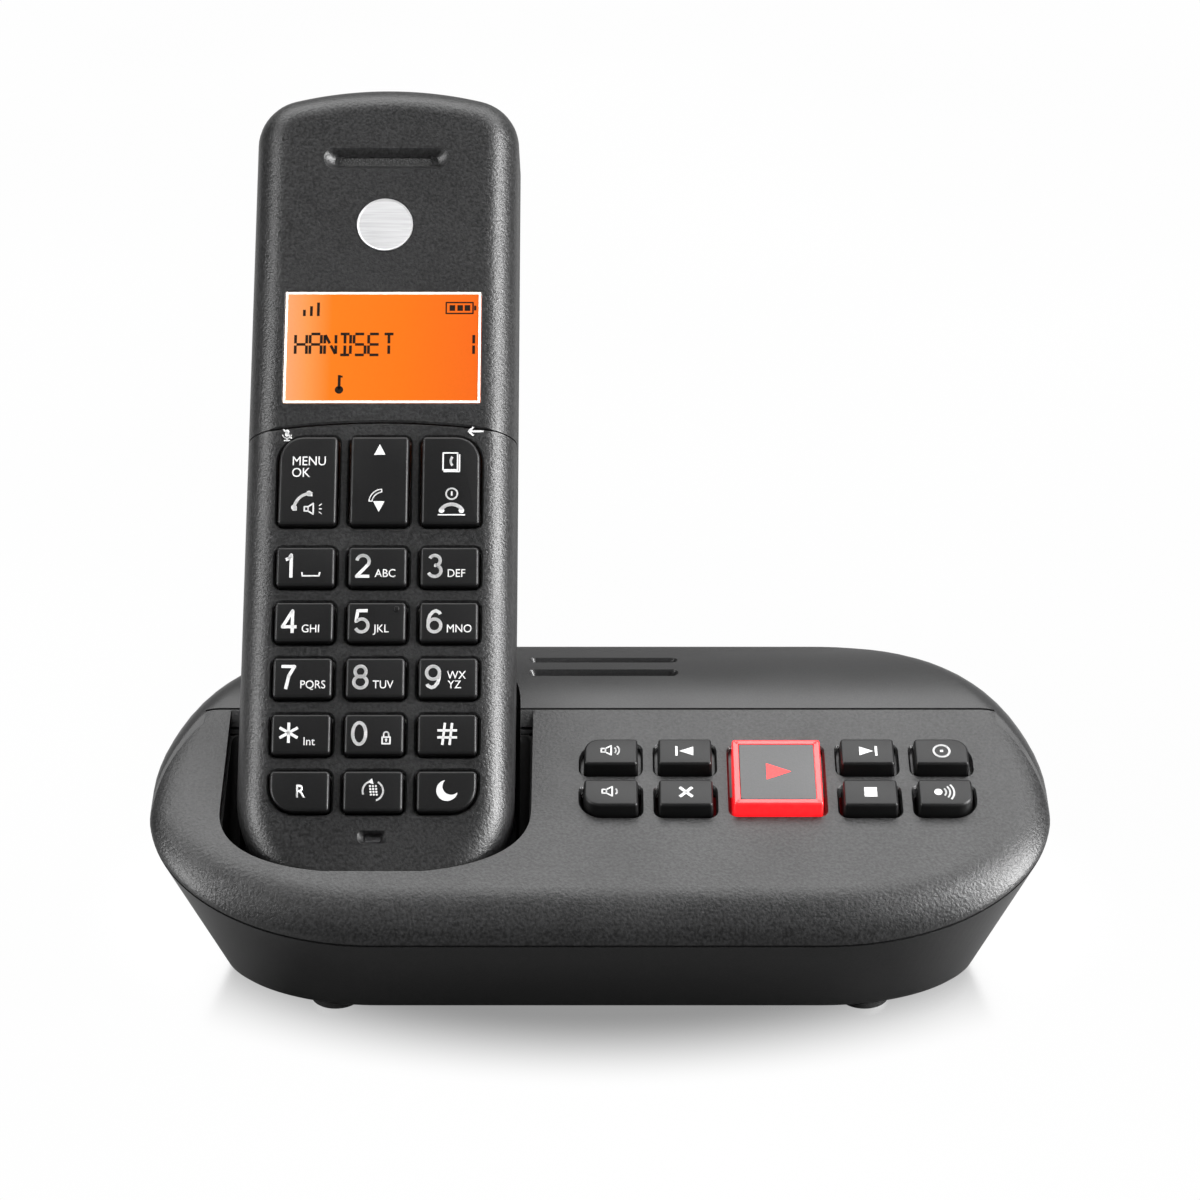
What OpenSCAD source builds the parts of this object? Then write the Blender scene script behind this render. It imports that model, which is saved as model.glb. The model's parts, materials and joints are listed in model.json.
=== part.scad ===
// Cordless telephone docked in a base with an answering machine.
// Origin: on the table under the middle of the base. -Y is the front, +X is right, +Z is up.
// The base is a rounded wedge. The handset stands in a slanted cradle at its left end.

/* [Base] */
// Width of the base at its widest line
base_w = 156.6; // [152:0.2:162]
// Distance from the origin to the nose of the base
base_front = 45.5; // [44:0.5:47]
// Distance from the origin to the rear wall of the base
base_rear = 46.2; // [45:0.2:50]
// Height of the seam at the nose
nose_z = 19.5; // [18:0.5:21]
// Slope of the seam between the top cover and the housing
seam_slope = 22; // [20:1:24]
// Slope of the button panel
panel_slope = 16.5; // [15:0.5:18]
// Thickness of the base walls
base_wall = 2.2; // [1.8:0.1:2.6]
// Height of the feet under the base
foot_h = 1.5; // [1:0.1:2]

/* [Handset] */
// Length of the handset
handset_l = 155.5; // [150:0.5:158]
// Width of the handset
handset_w = 48; // [46:0.5:49]
// Thickness of the handset
handset_t = 27; // [25:0.5:28]
// Angle that the docked handset leans back from upright
lean = 44; // [42:1:46]
// Distance from the middle of the base to the handset's centreline
handset_x = 38.9; // [38:0.1:40]
// Thickness of the handset's walls
handset_wall = 1.8; // [1.5:0.1:2]

/* [Keys] */
// Width of a dial key
key_w = 10.2; // [9.6:0.1:10.6]
// Height of a dial key
key_h = 7.1; // [6.6:0.1:7.4]
// Height of a tall rocker key
rocker_h = 16.3; // [15:0.1:17]
// Distance between key columns
key_pitch_x = 12.6; // [12.2:0.1:13]
// Distance between key rows
key_pitch_z = 10.08; // [9.9:0.02:10.4]
// How far the keys stand out of the face
key_proud = 1.1; // [0.8:0.1:1.3]
// Gap round each key and button
key_gap = 0.4; // [0.3:0.05:0.5]

/* [Base buttons] */
// Width of a small base button
button_w = 9.8; // [9:0.1:10.2]
// Depth of a small base button
button_h = 6.6; // [6:0.1:7]
// Side of the square play button
play_w = 15.8; // [15:0.1:16.2]
// How far the base buttons stand out of the panel
button_proud = 2.3; // [2:0.1:2.6]

/* [Hidden] */
$fn = 48;

// Base outline: front corners and rear corners are quarter ellipses in plan.
front_corner = [40.1, 26.6];
rear_corner = [72.9, 60.2];
draft = 24.6;
bottom_edge = 1;
top_edge = 7.2;
side_rim_z = 32;
rear_rim_z = 15.3;
corner_steps = 10;
crown_r = 38.7;

// The seam plane rises from the nose and meets the panel at its upper end.
seam_y = 2.2;
seam_z = nose_z + (seam_y + base_front) * tan(seam_slope);
crown_y = seam_y + crown_r * sin(panel_slope);
crown_z = seam_z - crown_r * cos(panel_slope);
seam_gap = 0.3;

// The face of the handset runs through the front rim of the cradle opening.
handset_y = -39.4;
handset_z = 21.9;
parting_y = 11;
cover_seam_z = 88.8;
cover_seam_r = 138;
dock_gap = 0.8;
cup_wall = 1.5;
cup_half_w = handset_w / 2 + 2.6;
cup_corner = 14;
charge_spacing = 12;
contact_y = 7.5;

// Corner radii of the handset in front view, and the radii of its arched ends
head_corner = 9;
foot_corner = 22;
head_arch = 70;
foot_arch = 80;

// Middle of the lowest key row and of the tall keys, from the handset's lower end
bottom_row_z = 21.35;
rocker_z = 77.6;
display_z = 103.1;
display_size = [35.1, 21.2];
earpiece_z = 139.9;
badge_z = 126.8;
badge_r = 5.05;
mic_z = 13.5;
key_flange_y = 2.4;
mat_y = 3.9;
pcb_y = 5.2;
pcb_t = 1.4;
door_z = 59;
door_l = 54;
door_w = 36;
cell_r = 5.25;
cell_l = 44.5;
cell_z = 63;
cell_y = 18.6;
handset_screw_points = [[-14, 11], [14, 11], [-16, 136], [16, 136]];

// Middle of the button block along the panel, measured down from the seam
play_x = 30.9;
play_s = -17.5;
row_step = 9.8;
near_column = 16;
far_column = 29;
mat_z = -4.4;

// Jack bay in the rear wall, its front wall and the two jacks in it
bay = [[-1, 33, 4.2], [30, 60, 14.2]];
line_jack_x = 7;
power_jack_x = 22;
jack_z = 9.2;
speaker_at = [3.5, 16, 32.5];
speaker_slot_rows = [12.9, 18.3];
front_post = [31, -30.5];
rear_posts = [[46, 10], [-34, 22]];
cup_post = [-38.9, -14];

plastic_black = [0.13, 0.13, 0.135];
plastic_grey = [0.2, 0.2, 0.205];
key_black = [0.07, 0.07, 0.075];
board_green = [0.1, 0.35, 0.2];
metal = [0.75, 0.74, 0.7];
rubber = [0.05, 0.05, 0.05];

// ---- Outlines ----

function arc(c, r, a0, a1, steps = 6) =
    [for (i = [0:steps]) let (a = a0 + (a1 - a0) * i / steps) [c[0] + r * cos(a), c[1] + r * sin(a)]];

// Rectangle with its own radius at each corner: right top, left top, left bottom, right bottom
function rounded_rect(w, h, r) = concat(
    arc([w / 2 - r[0], h / 2 - r[0]], r[0], 0, 90, 5),
    arc([r[1] - w / 2, h / 2 - r[1]], r[1], 90, 180, 5),
    arc([r[2] - w / 2, r[2] - h / 2], r[2], 180, 270, 5),
    arc([w / 2 - r[3], r[3] - h / 2], r[3], 270, 360, 5)
);

// ---- Base body: a loft through rings that are mirrored about the middle plane ----

function rim_height(y) =
    min(nose_z + (y + base_front) * tan(seam_slope), side_rim_z)
    - (y > 0 ? (side_rim_z - rear_rim_z) * pow(y / base_rear, 2) : 0);

function top_height(y) =
    y < seam_y ? seam_z + (y - seam_y) * tan(panel_slope)
               : crown_z + sqrt(max(pow(crown_r, 2) - pow(y - crown_y, 2), 0));

// Point i of half an outline that is inset by d, from the front middle round to the rear middle
function plan_point(i, d) =
    let (rear = i > corner_steps, a = 90 * (rear ? i - corner_steps - 1 : corner_steps - i) / corner_steps)
    rear ? [base_w / 2 - rear_corner[0] + (rear_corner[0] - d) * cos(a),
            base_rear - rear_corner[1] + (rear_corner[1] - d) * sin(a)]
         : [base_w / 2 - front_corner[0] + (front_corner[0] - d) * cos(a),
            -base_front + front_corner[1] - (front_corner[1] - d) * sin(a)];

half_points = [0:2 * corner_steps + 1];

// Ring at a fixed height on the sloping lower wall
function low_ring(z, inset) = [for (i = half_points)
    let (d = (rim_height(plan_point(i, 0)[1]) - z) * tan(draft) + inset, p = plan_point(i, d)) [p[0], p[1], z]];

// Ring on the rounded upper edge, from the widest line (0 degrees) to the top surface (90 degrees)
function edge_ring(angle, inset) = [for (i = half_points)
    let (p = plan_point(i, top_edge * (1 - cos(angle)) + inset), rim = rim_height(plan_point(i, 0)[1]))
    [p[0], p[1], rim + (top_height(p[1]) - inset - rim) * sin(angle)]];

module loft(rings) {
    half = len(rings[0]);
    n = 2 * half;
    last = (len(rings) - 1) * n;
    points = [for (r = rings) each concat(r, [for (i = [half - 1:-1:0]) [-r[i][0], r[i][1], r[i][2]]])];
    sides = [for (k = [0:len(rings) - 2]) for (i = [0:n - 1])
        let (a = k * n + i, b = k * n + (i + 1) % n) each [[a, a + n, b], [b, a + n, b + n]]];
    bottom = [[for (i = [0:n - 1]) i]];
    top = [for (i = [0:half - 2]) [last + n - 1 - i, last + n - 2 - i, last + i + 1, last + i]];
    polyhedron(points, concat(sides, bottom, top));
}

// The base as a solid, shrunk by inset; its underside is at height floor
module base_solid(inset = 0, floor = foot_h) {
    loft(concat(
        [low_ring(floor, inset + bottom_edge), low_ring(floor + 2, inset), edge_ring(0, inset)],
        [for (a = [22.5:22.5:90]) edge_ring(a, inset)]
    ));
}

// Half space above the seam plane, lifted by lift
module above_seam(lift) {
    translate([0, -base_front, nose_z])
        rotate([seam_slope, 0, 0])
            translate([-100, -40, lift])
                cube([200, 200, 80]);
}

// Places children on the panel: x across, s up the slope from the seam line, z along its normal
module on_panel(x, s) {
    translate([x, seam_y, seam_z])
        rotate([panel_slope, 0, 0])
            translate([0, s, 0])
                children();
}

// Places children in the handset's frame: face at y = 0, lower end at z = 0
module on_handset() {
    translate([-handset_x, handset_y, handset_z])
        rotate([-lean, 0, 0])
            children();
}

// Extrudes an outline drawn in x and z towards the back of the handset, from y0 to y1
module from_face(y0, y1) {
    translate([0, y1, 0])
        rotate([90, 0, 0])
            linear_extrude(y1 - y0)
                children();
}

// ---- Handset body: three extrusions that cross ----

// Side view, y and z: flat face, rounded ends, a back that thins towards the lower end
function side_profile(grow, rise) = concat(
    arc([4, 4], 4 + grow, 180, 270),
    arc([11, 9], 9 + grow, 270, 350),
    [[handset_t + grow, 58]],
    arc([handset_t - 12, handset_l - 12 + rise], 12 + grow, 0, 90),
    arc([6, handset_l - 6 + rise], 6 + grow, 90, 180)
);

// Front view: arched ends, with tighter corners at the head and wide ones at the foot
function front_outline(grow, rise) =
    let (w = handset_w / 2,
         head_a = acos((w - head_corner) / (head_arch - head_corner)),
         foot_a = acos((w - foot_corner) / (foot_arch - foot_corner)),
         head_c = [w - head_corner, handset_l - head_arch + (head_arch - head_corner) * sin(head_a) + rise],
         foot_c = [w - foot_corner, foot_arch - (foot_arch - foot_corner) * sin(foot_a)],
         right = concat(
             arc([0, foot_arch], foot_arch + grow, 270, 360 - foot_a, 2),
             arc(foot_c, foot_corner + grow, 360 - foot_a, 360, 10),
             arc(head_c, head_corner + grow, 0, head_a),
             arc([0, handset_l - head_arch + rise], head_arch + grow, head_a, 90, 4)))
    concat(right, [for (i = [len(right) - 2:-1:1]) [-right[i][0], right[i][1]]]);

// Cross-section, x and y, with exact corner rounds
module cross_section(half_w, y0, y1, r_face, r_back) {
    translate([-half_w, y0 + r_face])
        square([2 * half_w, y1 - y0 - r_face - r_back]);
    translate([r_face - half_w, y0])
        square([2 * (half_w - r_face), r_face + 1]);
    translate([r_back - half_w, y1 - r_back - 1])
        square([2 * (half_w - r_back), r_back + 1]);
    for (side = [-1, 1]) {
        translate([side * (half_w - r_face), y0 + r_face])
            circle(r_face);
        translate([side * (half_w - r_back), y1 - r_back])
            circle(r_back);
    }
}

module handset_solid(grow = 0, rise = 0) {
    intersection() {
        translate([0, 0, -2])
            linear_extrude(handset_l + 4 + rise)
                cross_section(handset_w / 2 + grow, -grow, handset_t + grow, 6 + grow, 9 + grow);
        rotate([90, 0, 90])
            translate([0, 0, -40])
                linear_extrude(80)
                    polygon(side_profile(grow, rise));
        from_face(-3, handset_t + 3)
            polygon(front_outline(grow, rise));
    }
}

module handset_shell() {
    difference() {
        handset_solid();
        handset_solid(-handset_wall);
    }
}

// Space that the docked handset needs in the base: wide at the panel, close round the handset's back
module cradle_space(grow = 0) {
    rise = 60;
    corner_x = cup_half_w - cup_corner;
    corner_z = cup_corner - dock_gap;
    intersection() {
        from_face(-4, handset_t + 4)
            polygon(concat(
                arc([corner_x, corner_z], cup_corner + grow, 270, 360),
                [[cup_half_w + grow, handset_l], [-cup_half_w - grow, handset_l]],
                arc([-corner_x, corner_z], cup_corner + grow, 180, 270)
            ));
        union() {
            translate([0, 0, -5])
                linear_extrude(handset_l)
                    cross_section(cup_half_w + grow, -1 - grow, 18, 9 + grow, 1);
            translate([0, 0, -5])
                linear_extrude(handset_l)
                    cross_section(handset_w / 2 + 0.7 + grow, 6, handset_t + dock_gap + grow, 2, 9 + grow);
        }
        rotate([90, 0, 90])
            translate([0, 0, -40])
                linear_extrude(80)
                    polygon(side_profile(dock_gap + grow, rise));
    }
}

// ---- Base ----

module base_shell() {
    difference() {
        base_solid();
        base_solid(base_wall, foot_h - 3);
    }
}

module button_hole(x, s, w, h, r) {
    on_panel(x, s)
        translate([0, 0, -6])
            linear_extrude(10)
                polygon(rounded_rect(w + 2 * key_gap, h + 2 * key_gap, r));
}

function corners(big, at) = [for (i = [0:3]) i == at ? big : 1];

// Column offset from the play button, row (1 upper, -1 lower) and the corner with the large round
function small_buttons() = [
    [-far_column, 1, 1], [-far_column, -1, 2], [-near_column, 1, 4], [-near_column, -1, 4],
    [near_column, 1, 4], [near_column, -1, 4], [far_column, 1, 0], [far_column, -1, 3]
];

module base_top_cover() {
    color(plastic_black)
        difference() {
            union() {
                intersection() {
                    base_shell();
                    above_seam(seam_gap / 2);
                }
                intersection() {
                    base_solid(base_wall - 0.1);
                    translate([front_post[0], front_post[1], foot_h + 2.3])
                        cylinder(h = 40, r = 3.4);
                }
            }
            on_handset()
                cradle_space();
            for (b = small_buttons())
                button_hole(play_x + b[0], play_s + b[1] * row_step / 2, button_w, button_h, corners(3.4, b[2]));
            button_hole(play_x, play_s, play_w, play_w, [0.8, 0.8, 0.8, 0.8]);
            translate([front_post[0], front_post[1], 0])
                cylinder(h = 14, r = 1.2);
        }
}

module base_housing() {
    color(plastic_grey)
        difference() {
            union() {
                difference() {
                    base_shell();
                    above_seam(-seam_gap / 2);
                }
                intersection() {
                    base_solid(base_wall - 0.1);
                    union() {
                        for (p = rear_posts)
                            translate([p[0], p[1], foot_h + 2.3])
                                cylinder(h = 40, r = 3.4);
                        translate(bay[0] - [1.6, 1.6, 0.3])
                            cube(bay[1] - bay[0] + [3.2, 1.6, 1.9]);
                    }
                }
            }
            translate(bay[0] - [0, 0, 5])
                cube(bay[1] - bay[0] + [0, 0, 5]);
            translate([line_jack_x - 6.2, bay[0][1] - 5, jack_z - 5.1])
                cube([12.4, 10, 10.2]);
            translate([power_jack_x, bay[0][1] - 5, jack_z])
                rotate([-90, 0, 0])
                    cylinder(h = 10, r = 4.2);
            on_handset()
                cradle_space();
            for (y = speaker_slot_rows)
                speaker_slot(y);
            on_panel(play_x, play_s)
                translate([-far_column - 7.4, -12.4, -8])
                    cube([2 * far_column + 14.8, 24.8, 12]);
            for (p = rear_posts)
                translate([p[0], p[1], 0])
                    cylinder(h = 14, r = 1.2);
        }
}

// Slot with round ends, cut straight down through the crown
module speaker_slot(y) {
    slot_l = 27.6;
    slot_w = 2.6;
    translate([0.6 - (slot_l - slot_w) / 2, y, seam_z - 4]) {
        cylinder(h = 10, r = slot_w / 2);
        translate([slot_l - slot_w, 0, 0])
            cylinder(h = 10, r = slot_w / 2);
        translate([0, -slot_w / 2, 0])
            cube([slot_l - slot_w, slot_w, 10]);
    }
}

module at_screws() {
    for (p = concat(rear_posts, [front_post, cup_post]))
        translate([p[0], p[1], foot_h])
            children();
}

module base_bottom_plate() {
    outline = low_ring(foot_h, base_wall + 0.3);
    half = [for (p = outline) [p[0], p[1]]];
    color(plastic_grey)
        difference() {
            translate([0, 0, foot_h])
                linear_extrude(2)
                    polygon(concat(half, [for (i = [len(half) - 1:-1:0]) [-half[i][0], half[i][1]]]));
            at_screws() {
                translate([0, 0, -1])
                    cylinder(h = 4, r = 1.5);
                translate([0, 0, -1])
                    cylinder(h = 2, r = 2.8);
            }
            translate(bay[0] - [2, 1.9, 5])
                cube(bay[1] - bay[0] + [4, 10, 0]);
        }
}

module base_screws() {
    color(metal)
        at_screws() {
            cylinder(h = 1, r = 2.5);
            translate([0, 0, 1])
                cylinder(h = 7.5, r = 1.2);
        }
}

module base_feet() {
    color(rubber)
        for (p = [[-46, -30.8], [46, -30.8], [-42, 18], [42, 18]])
            translate([p[0], p[1], 0])
                cylinder(h = foot_h, r = 4.5);
}

module cradle_cup() {
    color(plastic_black)
        difference() {
            union() {
                intersection() {
                    base_solid(base_wall + 0.2);
                    on_handset()
                        cradle_space(cup_wall);
                }
                translate([cup_post[0], cup_post[1], foot_h + 2.3])
                    cylinder(h = 14, r = 3.4);
            }
            on_handset() {
                cradle_space();
                for (side = [-1, 1])
                    translate([side * charge_spacing / 2, contact_y, -4])
                        cylinder(h = 6, r = 1.5);
            }
            translate([cup_post[0], cup_post[1], 0])
                cylinder(h = 9.5, r = 1.2);
        }
}

// Sprung pin with a round tip that reaches through the cup's floor
module charge_contact(side) {
    color(metal)
        on_handset()
            translate([side * charge_spacing / 2, contact_y, 0]) {
                translate([0, 0, -1.2])
                    sphere(1.2);
                translate([0, 0, -5.5])
                    cylinder(h = 4.3, r = 1.2);
                translate([0, 0, -5.5])
                    cylinder(h = 0.8, r = 2.2);
            }
}

module main_pcb() {
    color(board_green) {
        translate([-4, -25, 8])
            cube([44, 40, 1.6]);
        translate([12, -14, 9.6])
            cube([14, 14, 1.4]);
    }
}

// Board and rubber mat share the outline of the button block
module button_layer(z, t) {
    on_panel(play_x, play_s)
        translate([-far_column - 7, -11.5, z])
            cube([2 * far_column + 14, 23, t]);
}

module button_pcb() {
    color(board_green)
        button_layer(mat_z - 2.6, 1.5);
}

module button_mat() {
    color([0.6, 0.6, 0.6])
        difference() {
            button_layer(mat_z - 1, 1);
            on_panel(play_x, play_s)
                translate([-3, -3, mat_z - 2])
                    cube([6, 6, 4]);
        }
}

module play_led() {
    color([1, 0.2, 0.15])
        on_panel(play_x, play_s)
            translate([-1.6, -1.6, mat_z - 1.1])
                cube([3.2, 3.2, 1]);
}

module base_loudspeaker() {
    color(metal)
        translate(speaker_at) {
            translate([0, 0, -2])
                difference() {
                    cylinder(h = 2, r = 13);
                    translate([0, 0, 1])
                        cylinder(h = 2, r = 11.5);
                }
            translate([0, 0, -7])
                cylinder(h = 5, r1 = 9, r2 = 12);
            translate([0, 0, -12.5])
                cylinder(h = 5.5, r = 9);
        }
}

module speaker_gasket() {
    color(rubber)
        translate(speaker_at)
            difference() {
                cylinder(h = 1.6, r = 13);
                translate([0, 0, -1])
                    cylinder(h = 4, r = 11.6);
            }
}

module line_jack() {
    color(rubber)
        difference() {
            translate([line_jack_x - 6, bay[0][1] - 12.5, jack_z - 4.9])
                cube([12, 12.5, 9.8]);
            translate([line_jack_x - 4.9, bay[0][1] - 10.5, jack_z - 3.4])
                cube([9.8, 12, 6.8]);
        }
}

module power_jack() {
    color(rubber) {
        difference() {
            union() {
                translate([power_jack_x - 5, bay[0][1] - 12.5, jack_z - 4.9])
                    cube([10, 10.7, 9.8]);
                translate([power_jack_x, bay[0][1] - 3, jack_z])
                    rotate([-90, 0, 0])
                        cylinder(h = 3, r = 4);
            }
            translate([power_jack_x, bay[0][1] - 10.5, jack_z])
                rotate([-90, 0, 0])
                    cylinder(h = 12, r = 3);
        }
        translate([power_jack_x, bay[0][1] - 11, jack_z])
            rotate([-90, 0, 0])
                cylinder(h = 9.5, r = 1);
    }
}

// Button with a retaining flange under the panel
module base_button(column, row, big_corner) {
    color(key_black)
        on_panel(play_x + column, play_s + row * row_step / 2) {
            translate([0, 0, -3])
                linear_extrude(3 + button_proud)
                    polygon(rounded_rect(button_w, button_h, corners(3, big_corner)));
            translate([0, 0, -3.6])
                linear_extrude(0.6)
                    polygon(rounded_rect(button_w + 1.6, button_h + 1.6, corners(3, big_corner)));
        }
}

module volume_up_button() { base_button(-far_column, 1, 1); }
module volume_down_button() { base_button(-far_column, -1, 2); }
module previous_button() { base_button(-near_column, 1, 4); }
module delete_button() { base_button(-near_column, -1, 4); }
module next_button() { base_button(near_column, 1, 4); }
module stop_button() { base_button(near_column, -1, 4); }
module power_button() { base_button(far_column, 1, 0); }
module page_button() { base_button(far_column, -1, 3); }

// Red light guide with a square seat for the grey cap
module play_button() {
    color([0.85, 0.1, 0.08])
        on_panel(play_x, play_s)
            difference() {
                union() {
                    translate([0, 0, -3])
                        linear_extrude(3 + button_proud)
                            polygon(rounded_rect(play_w, play_w, [0.6, 0.6, 0.6, 0.6]));
                    translate([0, 0, -3.6])
                        linear_extrude(0.6)
                            polygon(rounded_rect(play_w + 1.6, play_w + 1.6, [0.6, 0.6, 0.6, 0.6]));
                }
                translate([0, 0, button_proud - 1])
                    linear_extrude(2)
                        polygon(rounded_rect(play_w - 2.4, play_w - 2.4, [0.4, 0.4, 0.4, 0.4]));
            }
}

module play_cap() {
    color(plastic_grey)
        on_panel(play_x, play_s)
            translate([0, 0, button_proud - 0.95])
                linear_extrude(1)
                    polygon(rounded_rect(play_w - 2.5, play_w - 2.5, [0.4, 0.4, 0.4, 0.4]));
}

// ---- Handset covers ----

// The cover below the arched seam
module keypad_side(grow = 0) {
    translate([0, -5, cover_seam_z - cover_seam_r])
        rotate([-90, 0, 0])
            cylinder(h = 40, r = cover_seam_r + grow, $fn = 180);
}

module front_half() {
    intersection() {
        handset_shell();
        translate([-40, -5, -5])
            cube([80, parting_y + 5, handset_l + 10]);
    }
}

module screw_posts(lower) {
    for (p = handset_screw_points)
        if ((p[1] < cover_seam_z) == lower)
            translate([p[0], handset_wall - 0.5, p[1]])
                rotate([-90, 0, 0])
                    difference() {
                        cylinder(h = 8, r = 2.4);
                        translate([0, 0, 1.5])
                            cylinder(h = 8, r = 0.9);
                    }
}

module handset_upper_cover() {
    color(plastic_black)
        on_handset() {
            difference() {
                front_half();
                keypad_side(0.12);
                from_face(-2, 5)
                    translate([0, display_z])
                        square(display_size + [0.3, 0.3], center = true);
                from_face(-2, 5)
                    translate([0, earpiece_z])
                        square([14, 2.4], center = true);
                from_face(-2, 0.9)
                    translate([0, earpiece_z])
                        polygon(rounded_rect(23.3, 4.1, [2, 2, 2, 2]));
                translate([0, -1, badge_z])
                    rotate([-90, 0, 0])
                        cylinder(h = 1.5, r = badge_r + 0.1);
            }
            screw_posts(false);
        }
}

module key_hole(x, z, w, h, r) {
    from_face(-2, 3)
        translate([x, z])
            polygon(rounded_rect(w + 2 * key_gap, h + 2 * key_gap, r));
}

function row_z(row) = bottom_row_z + row * key_pitch_z;

// Rounded corner of a key, by row from the bottom and column: the outer ones in the end rows are large
function dial_corners(column, row) =
    row > 0 || column == 0 ? [1, 1, 1, 1] : column < 0 ? corners(4.5, 2) : corners(4.5, 3);

function rocker_corners(column) =
    column == 0 ? [1, 1, 1, 1] : column < 0 ? corners(4.5, 1) : corners(4.5, 0);

module handset_keypad_cover() {
    color(plastic_black)
        on_handset() {
            difference() {
                intersection() {
                    front_half();
                    keypad_side(-0.12);
                }
                for (column = [-1:1]) {
                    key_hole(column * key_pitch_x, rocker_z, key_w, rocker_h, rocker_corners(column));
                    for (row = [0:4])
                        key_hole(column * key_pitch_x, row_z(row), key_w, key_h, dial_corners(column, row));
                }
                from_face(-2, 3)
                    translate([0, mic_z])
                        square([3.4, 1.5], center = true);
                for (side = [-1, 1])
                    translate([side * charge_spacing / 2, contact_y, -1])
                        cube([4.4, 5.4, 6], center = true);
            }
            screw_posts(true);
        }
}

// Room for the battery door in the handset's back, grown all round by gap
module door_block(gap) {
    translate([-door_w / 2 - gap, 20, door_z - gap])
        cube([door_w + 2 * gap, 20, door_l + 2 * gap]);
}

module handset_rear_cover() {
    color(plastic_black)
        on_handset()
            difference() {
                union() {
                    difference() {
                        handset_shell();
                        translate([-40, -5, -5])
                            cube([80, parting_y + 5.15, handset_l + 10]);
                        door_block(0.25);
                    }
                    intersection() {
                        handset_solid(-0.5);
                        for (p = handset_screw_points)
                            translate([p[0], 9.5, p[1]])
                                rotate([-90, 0, 0])
                                    cylinder(h = 30, r = 3.4);
                    }
                }
                for (p = handset_screw_points) {
                    translate([p[0], 8, p[1]])
                        rotate([-90, 0, 0])
                            cylinder(h = 30, r = 1.3);
                    translate([p[0], 14, p[1]])
                        rotate([-90, 0, 0])
                            cylinder(h = 30, r = 2.4);
                }
            }
}

module battery_door() {
    color(plastic_black)
        on_handset()
            intersection() {
                handset_shell();
                door_block(0);
            }
}

module handset_screws() {
    color(metal)
        on_handset()
            for (p = handset_screw_points)
                translate([p[0], 4, p[1]])
                    rotate([-90, 0, 0]) {
                        cylinder(h = 10.2, r = 0.9);
                        translate([0, 0, 10.2])
                            cylinder(h = 1.4, r = 2.1);
                    }
}

module display_window() {
    color([0.95, 0.5, 0.15, 0.5])
        on_handset()
            from_face(0.15, handset_wall)
                translate([0, display_z])
                    square(display_size, center = true);
}

module display_module() {
    color([0.95, 0.45, 0.1])
        on_handset()
            from_face(handset_wall + 0.2, handset_wall + 3)
                translate([0, display_z])
                    square(display_size + [1.5, 3], center = true);
}

module earpiece_mesh() {
    color(rubber)
        on_handset()
            from_face(handset_wall + 0.05, handset_wall + 0.5)
                translate([0, earpiece_z])
                    square([24, 5], center = true);
}

module earpiece_receiver() {
    color(metal)
        on_handset()
            translate([0, handset_wall + 0.7, earpiece_z - 3]) {
                rotate([-90, 0, 0])
                    cylinder(h = 3, r = 9);
                translate([0, 3, 0])
                    rotate([-90, 0, 0])
                        cylinder(h = 2.5, r = 6);
            }
}

module badge_disc() {
    color([0.8, 0.8, 0.8])
        on_handset()
            translate([0, -0.15, badge_z])
                rotate([-90, 0, 0])
                    cylinder(h = 0.6, r = badge_r);
}

module microphone() {
    color(metal)
        on_handset()
            translate([0, handset_wall + 0.1, mic_z])
                rotate([-90, 0, 0])
                    cylinder(h = 2, r = 2.2);
}

module handset_pcb() {
    color(board_green)
        on_handset() {
            from_face(pcb_y, pcb_y + pcb_t)
                translate([-20.5, 18])
                    square([41, 109]);
            from_face(pcb_y + pcb_t, pcb_y + pcb_t + 1.5)
                translate([-7, 36])
                    square([14, 14]);
        }
}

module keypad_mat() {
    color([0.6, 0.6, 0.6])
        on_handset() {
            from_face(mat_y + 0.3, pcb_y - 0.1)
                translate([-19.5, 18.5])
                    square([39, 71]);
            for (column = [-1:1]) {
                for (z = concat([rocker_z - 5, rocker_z + 5], [for (row = [0:4]) row_z(row)]))
                    translate([column * key_pitch_x, mat_y, z])
                        rotate([-90, 0, 0])
                            cylinder(h = 0.5, r = 2.5);
            }
        }
}

module battery_cells() {
    color([0.15, 0.45, 0.25])
        on_handset()
            for (side = [-1, 1])
                translate([side * (cell_r + 0.4), cell_y, cell_z]) {
                    cylinder(h = cell_l - 1, r = cell_r);
                    translate([0, 0, side > 0 ? cell_l - 1 : -0.8])
                        cylinder(h = 0.8, r = 1.9);
                }
}

module battery_contacts() {
    color(metal)
        on_handset()
            for (z = [cell_z - 2, cell_z + cell_l + 0.9], side = [-1, 1])
                translate([side * (cell_r + 0.4) - 3.5, cell_y - 4, z])
                    cube([7, 8, 0.5]);
}

module handset_contacts() {
    color(metal)
        on_handset()
            for (side = [-1, 1])
                translate([side * charge_spacing / 2, contact_y, 0.75])
                    cube([3, 5, 0.6], center = true);
}

// ---- Keys: each has a flange behind the cover ----

module key_body(x, z, h, r) {
    color(key_black)
        on_handset() {
            from_face(-key_proud, key_flange_y)
                translate([x, z])
                    polygon(rounded_rect(key_w, h, r));
            from_face(key_flange_y, key_flange_y + 0.6)
                translate([x, z])
                    polygon(rounded_rect(key_w + 1.5, h + 1.5, r));
        }
}

module dial_key(column, row) {
    key_body(column * key_pitch_x, row_z(row), key_h, dial_corners(column, row));
}

module rocker_key(column) {
    key_body(column * key_pitch_x, rocker_z, rocker_h, rocker_corners(column));
}

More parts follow.
